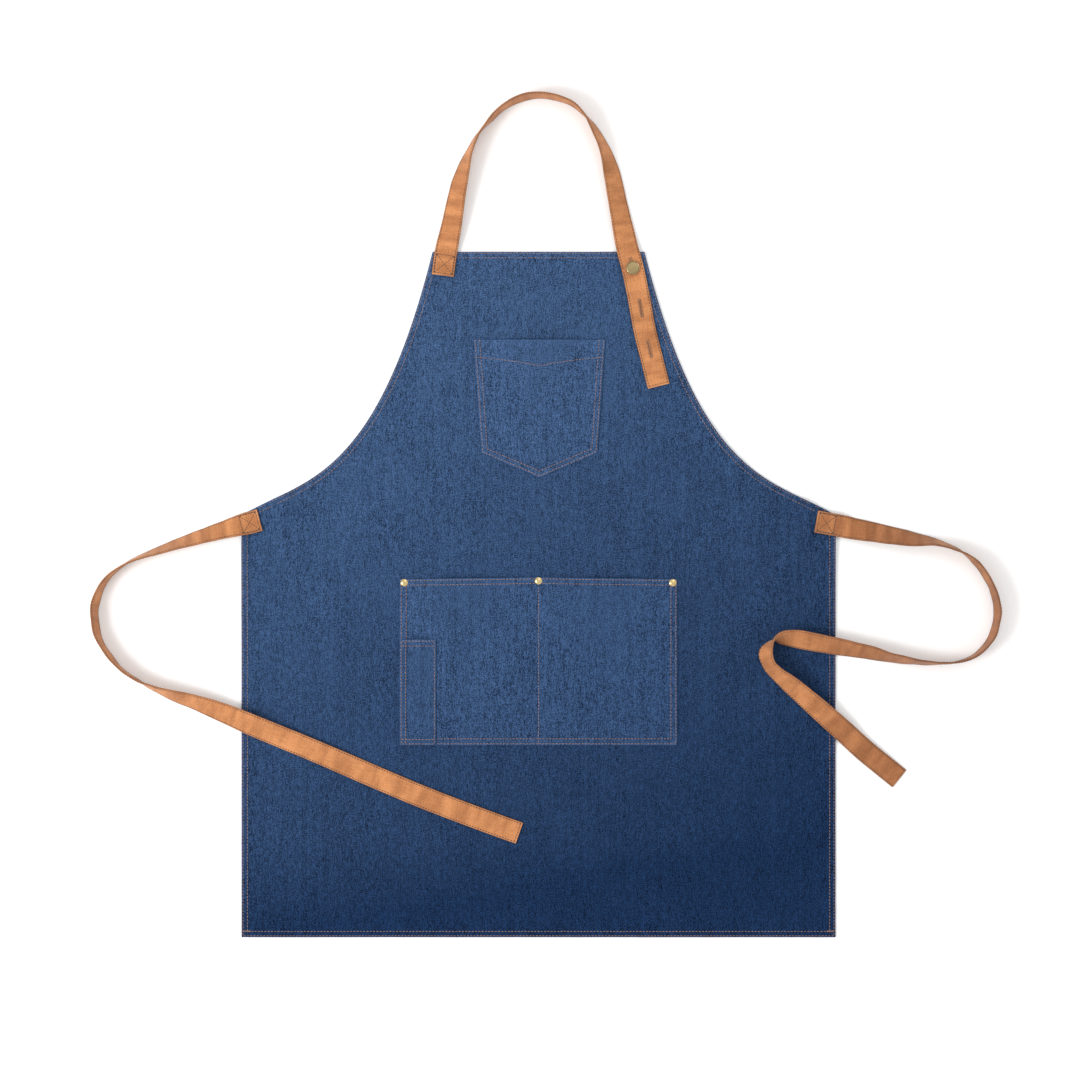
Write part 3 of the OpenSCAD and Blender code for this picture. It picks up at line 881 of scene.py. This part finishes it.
class Pocket:
    """A patch pocket: its outline, its rise off the panel, and its surface.

    corner_drop is how far the bottom's middle hangs below its corners, mouth_rise how far the
    mouth's middle stands above its ends, gape the swell of the mouth, parts the compartments,
    and taper how much narrower each side is at the bottom.
    """

    def __init__(self, node, gape, corner_drop=0.0, mouth_rise=0.0, taper=0.0, parts=1, below=panel_top):
        self.node = node
        low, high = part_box(node)
        self.left, self.right = low[0], high[0]
        self.middle = (low[0] + high[0]) / 2
        self.half = (high[0] - low[0]) / 2
        self.bottom, self.top = low[1], high[1]
        self.corner_drop = corner_drop
        self.mouth_rise = mouth_rise
        self.gape = gape
        self.parts = parts
        self.taper = taper
        self.below = below

    def place(self, u, v):
        """Point (x, y) at u across (-1 to 1) and v up (0 to 1)."""
        half = self.half - self.taper * (1 - v)
        low = self.bottom + self.corner_drop * abs(u)
        high = self.top - self.mouth_rise * abs(u)
        return self.middle + half * u, low + (high - low) * v

    def shares(self, x, y):
        """u and v of a point on the pocket."""
        v = min(max((y - self.bottom) / (self.top - self.bottom), 0), 1)
        u = 0.0
        for _ in range(3):
            half = self.half - self.taper * (1 - v)
            u = min(max((x - self.middle) / half, -1), 1)
            low = self.bottom + self.corner_drop * abs(u)
            high = self.top - self.mouth_rise * abs(u)
            v = min(max((y - low) / (high - low), 0), 1)
        return u, v

    def edge(self, u, v):
        """Distance to the nearest side or the bottom, and to the mouth."""
        half = self.half - self.taper * (1 - v)
        height = self.top - self.bottom - self.corner_drop * abs(u)
        return min(half * (1 - abs(u)), height * v), height * (1 - v)

    def surface(self, x, y):
        """Height of the pocket's front at a point."""
        u, v = self.shares(x, y)
        inside, mouth = self.edge(u, v)
        share = (u + 1) / 2 * self.parts % 1.0 if abs(u) < 1 else 0.0
        rise = self.gape * math.sin(math.pi * share) ** 2 * v**1.5
        fold = 0.0006 * ease((0.0088 - min(inside, mouth * 0.85)) / 0.0014)
        rim = -0.0008 * max(1 - min(inside, mouth) / 0.001, 0) ** 2
        unevenness = noise.noise(Vector((x * 19, y * 14, self.bottom * 90)))
        soft = 0.0007 * max(unevenness, 0) * flat_spots(x, y)
        wave = math.sin(TAU * (x + y * 1.1) / SEAM_RIPPLE)
        ripple = 0.00010 * wave * ease(1 - abs(inside - 0.0042) / 0.0042)
        seam = 0.0
        if self.parts > 1 and 0.1 < (u + 1) / 2 < 0.9:
            from_seam = share * (1 - share) * 4 * self.half / self.parts
            seam = -0.0006 * math.exp(-((from_seam / 0.0022) ** 2))
        return self.below(x, y) + 0.00105 + rise + fold + rim + soft + ripple + seam

    def build(self, name, columns, rows, finish):
        """The pocket as a sheet of cloth with a back, faded along its seams."""
        across = edge_steps(POCKET_EDGES, columns)
        up = edge_steps(POCKET_EDGES, rows)
        border = 2 * len(POCKET_EDGES)
        height = self.top - self.bottom

        def place(i, j):
            v = (up(j, height / 2) + height / 2) / height
            half = self.half - self.taper * (1 - v)
            x, y = self.place(across(i, half) / half, v)
            return Vector((x, y, self.surface(x, y)))

        bm = mapped_grid(border + columns, border + rows, place)

        def faded(x, y):
            u, v = self.shares(x, y)
            inside, mouth = self.edge(u, v)
            line = min(inside, mouth)
            rub = 0.55 * math.exp(-((line / 0.0011) ** 2))
            ridge = 0.18 * math.exp(-(((line - 0.0038) / 0.0016) ** 2))
            return rub + ridge * (1 + math.sin(TAU * (x + y) / SEAM_RIPPLE)) / 2

        def under(x, y):
            return max(self.surface(x, y) - POCKET_T, self.below(x, y) + 0.00003)

        wear_layer(bm, faded)
        give_back(bm, under)
        return finish_mesh(bm, name, material(finish))


POCKETS = {}


def make_pockets():
    """The three pockets' surfaces, placed from the frame."""
    POCKETS["chest"] = Pocket("chest_pocket", gape=0.0035, corner_drop=0.027, taper=0.0085)
    POCKETS["lower"] = Pocket("lower_pocket", gape=0.0035, mouth_rise=0.002, parts=2)
    POCKETS["pen"] = Pocket("pen_pocket", gape=0.002, below=POCKETS["lower"].surface)


STRAPS = {}


def make_straps():
    """The three straps' curves."""
    STRAPS["neck"] = Strap(NECK_ROUTE, (0, TOP), -1, 11.3)
    STRAPS["left"] = Strap(LEFT_ROUTE, (-HALF_W, WAIST_Y), 1, 23.9)
    STRAPS["right"] = Strap(RIGHT_ROUTE, (HALF_W, WAIST_Y), -1, 37.1)


# How far past each hinge the ends of a bend lie; these points are worked out, but nothing bends the cloth.
TIE_BEND = 0.046
LOOP_BEND = (-0.001, 0.012)
TAIL_BEND = (0.002, -0.014)


def strap_lengths():
    """Each length of strap: its piece's name, its strap, where it starts and ends, its nodes."""
    neck, left, right = (STRAPS[k] for k in ("neck", "left", "right"))
    button = neck.nearest(*BUTTON_AT)
    tail_nodes = ["neck_strap_button_end", "neck_strap_tail"]
    return [
        ("neck_strap", neck, 0.0, button, ["neck_strap_sewn_end", "neck_strap_loop"]),
        ("neck_strap_free_tail", neck, button, neck.length, tail_nodes),
        ("left_tie_start", left, 0.0, TIE_TWIST, ["left_tie_sewn_end"]),
        ("left_tie", left, TIE_TWIST, left.length, ["left_waist_tie"]),
        ("right_tie_start", right, 0.0, TIE_TWIST, ["right_tie_sewn_end"]),
        ("right_tie", right, TIE_TWIST, right.length, ["right_waist_tie"]),
    ]


def join_motion(piece, name):
    """Bakes a strap's piece, or the stitches on it, in place, and attaches the ties' long pieces to their
    tie's body; the bend points at the other hinges are worked out but not used.
    """
    hinges = {j["name"]: j for j in frame["joints"]}
    if name == "neck_strap":
        y = hinges["neck_loop_fold"]["pos_m"][1]
        start, end = ((0, y + reach, 0) for reach in LOOP_BEND)
        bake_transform(piece)
        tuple(start)
        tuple(end)
    elif name == "neck_strap_free_tail":
        x, y, _ = hinges["strap_tail_lift"]["pos_m"]
        start = (x, y + TAIL_BEND[0], 0)
        end = (x + 0.003, y + TAIL_BEND[1], 0)
        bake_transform(piece)
        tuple(start)
        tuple(end)
    elif name.endswith("_tie_start"):
        side = name.split("_")[0]
        hinge = hinges[side + "_tie_lift"]
        x, y, _ = hinge["pos_m"]
        ax, ay, _ = hinge["axis"]
        reach = TIE_BEND if side == "left" else -TIE_BEND
        end = (x + ax * reach, y + ay * reach, 0)
        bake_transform(piece)
        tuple(end)
    else:
        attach(piece, name.split("_")[0] + "_tie")


# ---------------------------------------------------------------- settings

class ApronCloth(bpy.types.PropertyGroup):
    """Colours and mesh of the denim"""

    dark: bpy.props.FloatVectorProperty(
        name="Dark yarn", description="Colour of the denim's indigo yarns", subtype="COLOR",
        size=3, min=0, max=1, default=(0.0045, 0.0110, 0.029))
    light: bpy.props.FloatVectorProperty(
        name="Pale yarn", description="Colour where the indigo has washed out", subtype="COLOR",
        size=3, min=0, max=1, default=(0.068, 0.134, 0.276))
    pocket_dark: bpy.props.FloatVectorProperty(
        name="Pocket dark yarn", description="Indigo yarns of the pockets' cloth", subtype="COLOR",
        size=3, min=0, max=1, default=(0.0055, 0.0130, 0.034))
    pocket_light: bpy.props.FloatVectorProperty(
        name="Pocket pale yarn", description="Washed yarns of the pockets' cloth", subtype="COLOR",
        size=3, min=0, max=1, default=(0.075, 0.146, 0.300))
    cell: bpy.props.FloatProperty(
        name="Mesh cell", description="Size of the panel's mesh cells", unit="LENGTH",
        min=0.002, max=0.01, default=0.0042)


class ApronTrim(bpy.types.PropertyGroup):
    """Colours of the straps, thread and metal"""

    canvas: bpy.props.FloatVectorProperty(
        name="Canvas", description="Colour of the straps", subtype="COLOR",
        size=3, min=0, max=1, default=(0.475, 0.196, 0.074))
    canvas_edge: bpy.props.FloatVectorProperty(
        name="Canvas edge", description="Colour of the straps' folded edges", subtype="COLOR",
        size=3, min=0, max=1, default=(0.17, 0.066, 0.027))
    thread: bpy.props.FloatVectorProperty(
        name="Thread", description="Colour of the stitching on the denim", subtype="COLOR",
        size=3, min=0, max=1, default=(0.30, 0.160, 0.095))
    strap_thread: bpy.props.FloatVectorProperty(
        name="Strap thread", description="Colour of the stitching on the straps", subtype="COLOR",
        size=3, min=0, max=1, default=(0.055, 0.022, 0.010))
    button: bpy.props.FloatVectorProperty(
        name="Button", description="Colour of the button's antique brass", subtype="COLOR",
        size=3, min=0, max=1, default=(0.33, 0.25, 0.125))
    rivet: bpy.props.FloatVectorProperty(
        name="Rivet", description="Colour of the rivets' polished brass", subtype="COLOR",
        size=3, min=0, max=1, default=(0.66, 0.51, 0.25))
    pitch: bpy.props.FloatProperty(
        name="Stitch pitch", description="Length of one stitch and its gap", unit="LENGTH",
        min=0.002, max=0.006, default=0.0036)


class ApronStudio(bpy.types.PropertyGroup):
    """Camera and lights"""

    height: bpy.props.FloatProperty(
        name="Camera height", description="Height of the camera above the table", unit="LENGTH",
        min=1, max=6, default=3.0)
    across: bpy.props.FloatProperty(
        name="Frame width", description="Width of the table that the frame covers", unit="LENGTH",
        min=0.5, max=3, default=1.1826)
    key: bpy.props.FloatProperty(
        name="Key light", description="Power of the main soft light", unit="POWER",
        min=0, max=500, default=78.0)
    sky: bpy.props.FloatProperty(
        name="Fill light", description="Strength of the even light all round",
        min=0, max=5, default=0.98)


# ---------------------------------------------------------------- operators

# Where the panel's fine mesh lines lie near an edge, in mm from it.
PANEL_EDGES = (0, 0.4, 1.0, 1.8, 3.0, 4.5, 6.0, 7.0, 8.0, 8.6, 9.4, 11, 14, 19)


class APRON_OT_panel(bpy.types.Operator):
    """Make the denim panel with its folded hems"""
    bl_idname = "apron.panel"
    bl_label = "Panel and hems"

    def execute(self, context):
        edges = [k * MM for k in PANEL_EDGES]
        columns = 112
        rows = round((TOP - BOTTOM) / context.scene.apron_cloth.cell)
        across = edge_steps(edges, columns)
        up = edge_steps(edges, rows)
        middle, half_tall = (TOP + BOTTOM) / 2, (TOP - BOTTOM) / 2

        def place(i, j):
            y = middle + up(j, half_tall)
            half, slant = half_width(y)
            x = across(i, half, slant)
            return Vector((x, y, panel_top(x, y)))

        bm = mapped_grid(2 * len(edges) + columns, 2 * len(edges) + rows, place)

        def faded(x, y):
            d = edge_distance(x, y)
            rub = 0.5 * math.exp(-((d / 0.0010) ** 2))
            ridge = 0.22 * math.exp(-(((d - 0.0040) / 0.0018) ** 2))
            return rub + ridge * (0.5 + 0.5 * hem_ripple(x, y, d))

        wear_layer(bm, faded)
        give_back(bm, panel_under)
        piece = finish_mesh(bm, "denim_panel", material("denim"))
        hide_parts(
            "front_panel", "top_hem", "bottom_hem", "left_side_hem", "right_side_hem",
            "left_arm_hem", "right_arm_hem")
        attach(piece, "root")
        area = 2 * HALF_W * (WAIST_Y - BOTTOM)
        area += sum((a[0] + b[0]) * (a[1] - b[1]) for a, b in zip(ARM, ARM[1:]))
        return {"FINISHED"}


class APRON_OT_pockets(bpy.types.Operator):
    """Make the chest, lower and pen pockets"""
    bl_idname = "apron.pockets"
    bl_label = "Pockets"

    def execute(self, context):
        for key, name, columns, rows in (
            ("chest", "chest_pocket_patch", 34, 34),
            ("lower", "lower_pocket_patch", 76, 42),
            ("pen", "pen_pocket_patch", 8, 26),
        ):
            pocket = POCKETS[key]
            piece = pocket.build(name, columns, rows, "pocket_denim")
            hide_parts(pocket.node)
            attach(piece, "root")
        return {"FINISHED"}


class APRON_OT_straps(bpy.types.Operator):
    """Make the neck strap and the two waist ties"""
    bl_idname = "apron.straps"
    bl_label = "Straps"

    def execute(self, context):
        for name, strap, start, end, nodes in strap_lengths():
            piece = strap_piece(name, strap, start, end, material("canvas"))
            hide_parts(*nodes)
            join_motion(piece, name)
        return {"FINISHED"}


# How far each row of stitches is from the cloth's edge.
HEM_ROWS = (0.0017, 0.0065)
CHEST_ROWS = (0.0018, 0.0066)
LOWER_ROWS = (0.0018, 0.0072)
MOUTH_ROWS = (0.0018, 0.0068)


class APRON_OT_stitching(bpy.types.Operator):
    """Sew the hems, pockets and straps"""
    bl_idname = "apron.stitching"
    bl_label = "Stitching"

    def execute(self, context):
        pitch = context.scene.apron_trim.pitch
        self.sew_hems(pitch)
        self.sew_pockets(pitch)
        self.sew_straps()
        return {"FINISHED"}

    def keep(self, row, name, finish, nodes=(), body="root"):
        """Makes a row's stitches one piece that stands for the nodes and rides the body."""
        piece = thread_piece(row, name, finish)
        if nodes:
            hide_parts(*nodes)
        if body:
            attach(piece, body)
        return piece

    def sew_hems(self, pitch):
        """Two rows round the panel, and a bar of close stitches at each bottom corner."""
        row = []
        for d in HEM_ROWS:
            arm = inset_path(ARM[::2], d)
            for side in (-1, 1):
                sew(row, [(x * side, y) for x, y in arm], panel_top, pitch)
                x = (HALF_W - d) * side
                sew(row, [(x, WAIST_Y - d), (x, BOTTOM + d)], panel_top, pitch)
            sew(row, [(-HALF_W + d, BOTTOM + d), (HALF_W - d, BOTTOM + d)], panel_top, pitch)
            sew(row, [(-BIB_HALF + d, TOP - d), (BIB_HALF - d, TOP - d)], panel_top, pitch)
        for side in (-1, 1):
            for k in range(9):
                x = (HALF_W - 0.0022 - k * 0.0009) * side
                sew(row, [(x, BOTTOM + 0.0058), (x, BOTTOM + 0.0076)], panel_top, 0.0018, 0.0018)
        self.keep(row, "hem_stitches", "thread", ["hem_stitching"])

    def sew_pockets(self, pitch):
        """Rows round each pocket, the chest pocket's bow and the lower pocket's divider."""
        chest, lower, pen = (POCKETS[k] for k in ("chest", "lower", "pen"))
        row = []
        outline = [chest.place(u, v) for u, v in ((1, 1), (1, 0), (0, 0), (-1, 0), (-1, 1))]
        for d in CHEST_ROWS:
            sew(row, inset_path(outline, d), chest.surface, pitch)
        line = []
        for k in range(21):
            u = (k / 10 - 1) * 0.985
            x, y = chest.place(u, 1.0)
            line.append((x, y - 0.0195 - 0.0092 * (1 - abs(u)) ** 1.5))
        sew(row, line, chest.surface, pitch)
        self.keep(row, "chest_pocket_stitches", "thread", ["chest_pocket_stitching"])

        row = []
        outline = [lower.place(u, v) for u, v in ((1, 1), (1, 0), (0, 0), (-1, 0), (-1, 1))]
        for d in LOWER_ROWS:
            sew(row, inset_path(outline, d), lower.surface, pitch)
        for d in MOUTH_ROWS:
            mouth = [(x, y - d) for x, y in (lower.place(u / 10, 1.0) for u in range(-10, 11))]
            sew(row, mouth, lower.surface, pitch)
        top = lower.place(0, 1)[1]
        divider = [(lower.middle, top - 0.010), (lower.middle, lower.bottom + 0.002)]
        sew(row, divider, lower.surface, pitch)
        self.keep(row, "lower_pocket_stitches", "thread", ["lower_pocket_stitching"])

        row = []
        left, right, low, high = pen.left, pen.right, pen.bottom, pen.top
        for x in (left + 0.0018, left + 0.0066, right - 0.0018):
            sew(row, [(x, high - 0.002), (x, low + 0.002)], pen.surface, pitch)
        for y in (high - 0.0018, high - 0.0072, low + 0.0018, low + 0.0066):
            sew(row, [(left + 0.002, y), (right - 0.002, y)], pen.surface, pitch)
        self.keep(row, "pen_pocket_stitches", "thread", ["pen_pocket_stitching"])

    def sew_straps(self):
        """Rows along both edges of each strap, and the box at each sewn end."""
        edge = STRAP_W / 2 - 0.0018
        for name, strap, start, end, _ in strap_lengths():
            row = []
            for across in (-edge, edge):
                strap_row(row, strap, start + 0.001, end - 0.001, across)
            if end == strap.length:
                strap_line(row, strap, end - 0.0022, -edge, end - 0.0022, edge)
            piece = self.keep(row, name + "_stitches", "strap_thread", body=None)
            join_motion(piece, name)
        for name, key, length in (
            ("neck_patch", "neck", 0.0225),
            ("left_tie_patch", "left", 0.0205),
            ("right_tie_patch", "right", 0.0205),
        ):
            row = []
            box_and_cross(row, STRAPS[key], 0.0, length)
            self.keep(row, name + "_stitches", "strap_thread", [name + "_stitching"])


BUTTONHOLE_HALF = 0.0085
BUTTONHOLE_REACH = 0.0021
# How far the free buttonholes are from the tail's end.
BUTTONHOLES_BACK = (0.0875, 0.042)


class APRON_OT_buttonholes(bpy.types.Operator):
    """Work the strap's three buttonholes"""
    bl_idname = "apron.buttonholes"
    bl_label = "Buttonholes"

    def execute(self, context):
        strap = STRAPS["neck"]
        at_button = strap.nearest(*BUTTON_AT)
        self.work(strap, at_button - 0.004, "worn_buttonhole", "neck_strap")
        for k, back in enumerate(BUTTONHOLES_BACK):
            self.work(strap, strap.length - back, f"buttonhole_{k + 1}", "neck_strap_free_tail")
        return {"FINISHED"}

    def work(self, strap, middle, name, follows):
        """A buttonhole's close stitches, and where no button fills it, a thin dark strip of painted shadow
        along its cut.
        """
        half = BUTTONHOLE_HALF
        row = []
        count = 22
        for side in (-1, 1):
            for k in range(count):
                s = middle - half + 2 * half * (k + 0.5) / count
                if follows == "neck_strap" and s > strap.nearest(*BUTTON_AT):
                    continue
                a = strap.point(s, side * 0.0004, STRAP_T / 2 + 0.0001)
                b = strap.point(s + 0.0001, side * BUTTONHOLE_REACH, STRAP_T / 2 + 0.0001)
                add_stitch(row, (a + b) / 2, b - a, strap.frame(s)[2], 0.0019, 0.0008, THREAD_H)
        if follows != "neck_strap":
            for end in (-1, 1):
                for k in range(3):
                    s = middle + end * (half + 0.0003 + 0.0006 * k)
                    reaches = (-BUTTONHOLE_REACH, BUTTONHOLE_REACH)
                    a, b = (strap.point(s, reach, STRAP_T / 2 + 0.0001) for reach in reaches)
                    add_stitch(row, (a + b) / 2, b - a, strap.frame(s)[2], 0.0042, 0.0008, THREAD_H)
        piece = thread_piece(row, name, "buttonhole_thread")
        join_motion(piece, follows)
        if follows == "neck_strap":
            return
        # A thin dark strip on the strap: painted shadow in the open buttonhole.
        columns = 10

        def place(i, j):
            s = middle - half * 0.94 + 2 * half * 0.94 * i / columns
            return strap.point(s, (j - 1) * 0.00022, STRAP_T / 2 + 0.00012)

        bm = mapped_grid(columns, 2, place)
        bmesh.ops.solidify(bm, geom=bm.faces[:], thickness=0.0003)
        bmesh.ops.recalc_face_normals(bm, faces=bm.faces[:])
        painted_slit_shadow = finish_mesh(bm, name + "_slit", material("painted_slit_shadow"))
        join_motion(painted_slit_shadow, follows)


BUTTON_DOME = (0.0, 0.35, 0.7, 1.05, 1.35, 1.57)
RIVET_DOME = (0.0, 0.3, 0.6, 0.9, 1.2, 1.45)
RIVET_TALL = 1.4 * MM


class APRON_OT_fittings(bpy.types.Operator):
    """Make the button and the rivets"""
    bl_idname = "apron.fittings"
    bl_label = "Button and rivets"

    def execute(self, context):
        low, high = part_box("button_cap")
        r = (high[0] - low[0]) / 2 / MM
        dome = [(r * math.sin(a) * 0.86, 2.25 + 0.50 * math.cos(a)) for a in BUTTON_DOME]
        rim = [
            (r * 0.93 + (r * 0.07) * math.cos(a), 1.85 + 0.85 * math.sin(a))
            for a in (math.pi * k / 10 for k in range(10, -5, -1))
        ]
        profile = dome + rim + [(r * 0.93, 0.7), (r * 0.6, 0.05), (2.0, 0.0), (0.0, 0.0)]
        cap = spun("button_face", BUTTON_AT, low[2], profile, "button_brass")
        cap.data.materials.append(material("button_rim"))
        for face in cap.data.polygons:
            out = math.hypot(face.center.x - BUTTON_AT[0], face.center.y - BUTTON_AT[1])
            if out > r * MM * 0.865 and face.center.z > low[2] + 1.0 * MM:
                face.material_index = 1
        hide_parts("button_cap")
        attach(cap, "button")
        for name, at in zip(RIVETS, RIVET_AT):
            low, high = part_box("rivet_cap_" + name)
            r = (high[0] - low[0]) / 2 / MM
            base = high[2] - RIVET_TALL
            dome = [(r * 0.90 * math.sin(a), 0.45 + 1.15 * math.cos(a)) for a in RIVET_DOME]
            profile = dome + [(r * 0.94, 0.5), (r, 0.42), (r, 0.1), (r * 0.94, -0.3), (0.0, -0.3)]
            rivet = spun("rivet_dome_" + name, at, base, profile, "rivet_brass")
            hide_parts("rivet_cap_" + name)
            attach(rivet, "root")
            self.plate("rivet_burr_" + name, "rivet_brass")
        self.plate("button_tack", "button_brass")
        return {"FINISHED"}

    def plate(self, node, finish):
        """Gives a metal node of the frame its finish."""
        metal = frame["nodes"][node].data
        metal.materials.clear()
        metal.materials.append(material(finish))


VIEW_CENTRE = (0.0016, 0.0597, 0.0)
KEY_AT = (-2.4, -0.7, 2.5)
REAR_AT = (0.7, 1.6, 2.6)
REAR_SHARE = 0.16


class APRON_OT_stage(bpy.types.Operator):
    """Set the table, the lights and the camera"""
    bl_idname = "apron.stage"
    bl_label = "Stage"

    def execute(self, context):
        scene = context.scene
        studio = scene.apron_studio
        centre = Vector(VIEW_CENTRE)
        bm = bmesh.new()
        bmesh.ops.create_grid(bm, x_segments=1, y_segments=1, size=6)
        bmesh.ops.translate(bm, verts=bm.verts[:], vec=(0, 0, -0.0004))
        floor = finish_mesh(bm, "table_top", plain_material("table_white", (0.93, 0.93, 0.93), 0.9))
        data = bpy.data.cameras.new("camera")
        data.sensor_width = 36
        data.lens = 36 * studio.height / studio.across
        camera = bpy.data.objects.new("camera", data)
        camera.location = centre + Vector((0, 0, studio.height))
        scene.collection.objects.link(camera)
        scene.camera = camera
        self.light("key_light", KEY_AT, centre, studio.key, 1.3)
        self.light("rear_light", REAR_AT, centre, studio.key * REAR_SHARE, 1.8)
        world = bpy.data.worlds.new("studio_air")
        world.use_nodes = True
        world.node_tree.nodes["Background"].inputs["Color"].default_value = (1, 1, 1, 1)
        world.node_tree.nodes["Background"].inputs["Strength"].default_value = studio.sky
        scene.world = world
        scene.view_settings.view_transform = "Standard"
        return {"FINISHED"}

    def light(self, name, at, target, power, size):
        """A square soft light aimed at the target."""
        data = bpy.data.lights.new(name, "AREA")
        data.energy = power
        data.size = size
        lamp = bpy.data.objects.new(name, data)
        lamp.location = at
        lamp.rotation_euler = (target - Vector(at)).to_track_quat("-Z", "Y").to_euler()
        bpy.context.scene.collection.objects.link(lamp)


class APRON_PT_tools(bpy.types.Panel):
    """Settings and steps for the apron"""
    bl_idname = "APRON_PT_tools"
    bl_label = "Bib apron"
    bl_space_type = "VIEW_3D"
    bl_region_type = "UI"
    bl_category = "Apron"

    def draw(self, context):
        layout = self.layout
        for group in ("apron_cloth", "apron_trim", "apron_studio"):
            settings = getattr(context.scene, group)
            box = layout.box()
            for key in settings.bl_rna.properties.keys():
                if key not in ("rna_type", "name"):
                    box.prop(settings, key)
        for step in STEPS:
            layout.operator(step.bl_idname)


STEPS = (
    APRON_OT_stage, APRON_OT_panel, APRON_OT_pockets, APRON_OT_straps, APRON_OT_stitching,
    APRON_OT_buttonholes, APRON_OT_fittings,
)
GROUPS = {"apron_cloth": ApronCloth, "apron_trim": ApronTrim, "apron_studio": ApronStudio}


def register():
    for kind in (*GROUPS.values(), *STEPS, APRON_PT_tools):
        bpy.utils.register_class(kind)
    for name, kind in GROUPS.items():
        setattr(bpy.types.Scene, name, bpy.props.PointerProperty(type=kind))


def unregister():
    for name in GROUPS:
        delattr(bpy.types.Scene, name)
    for kind in (APRON_PT_tools, *STEPS, *GROUPS.values()):
        bpy.utils.unregister_class(kind)


def main():
    register()
    make_pockets()
    make_straps()
    bpy.ops.apron.stage()
    bpy.ops.apron.panel()
    bpy.ops.apron.pockets()
    bpy.ops.apron.straps()
    bpy.ops.apron.stitching()
    bpy.ops.apron.buttonholes()
    bpy.ops.apron.fittings()


if __name__ == "__main__":
    main()
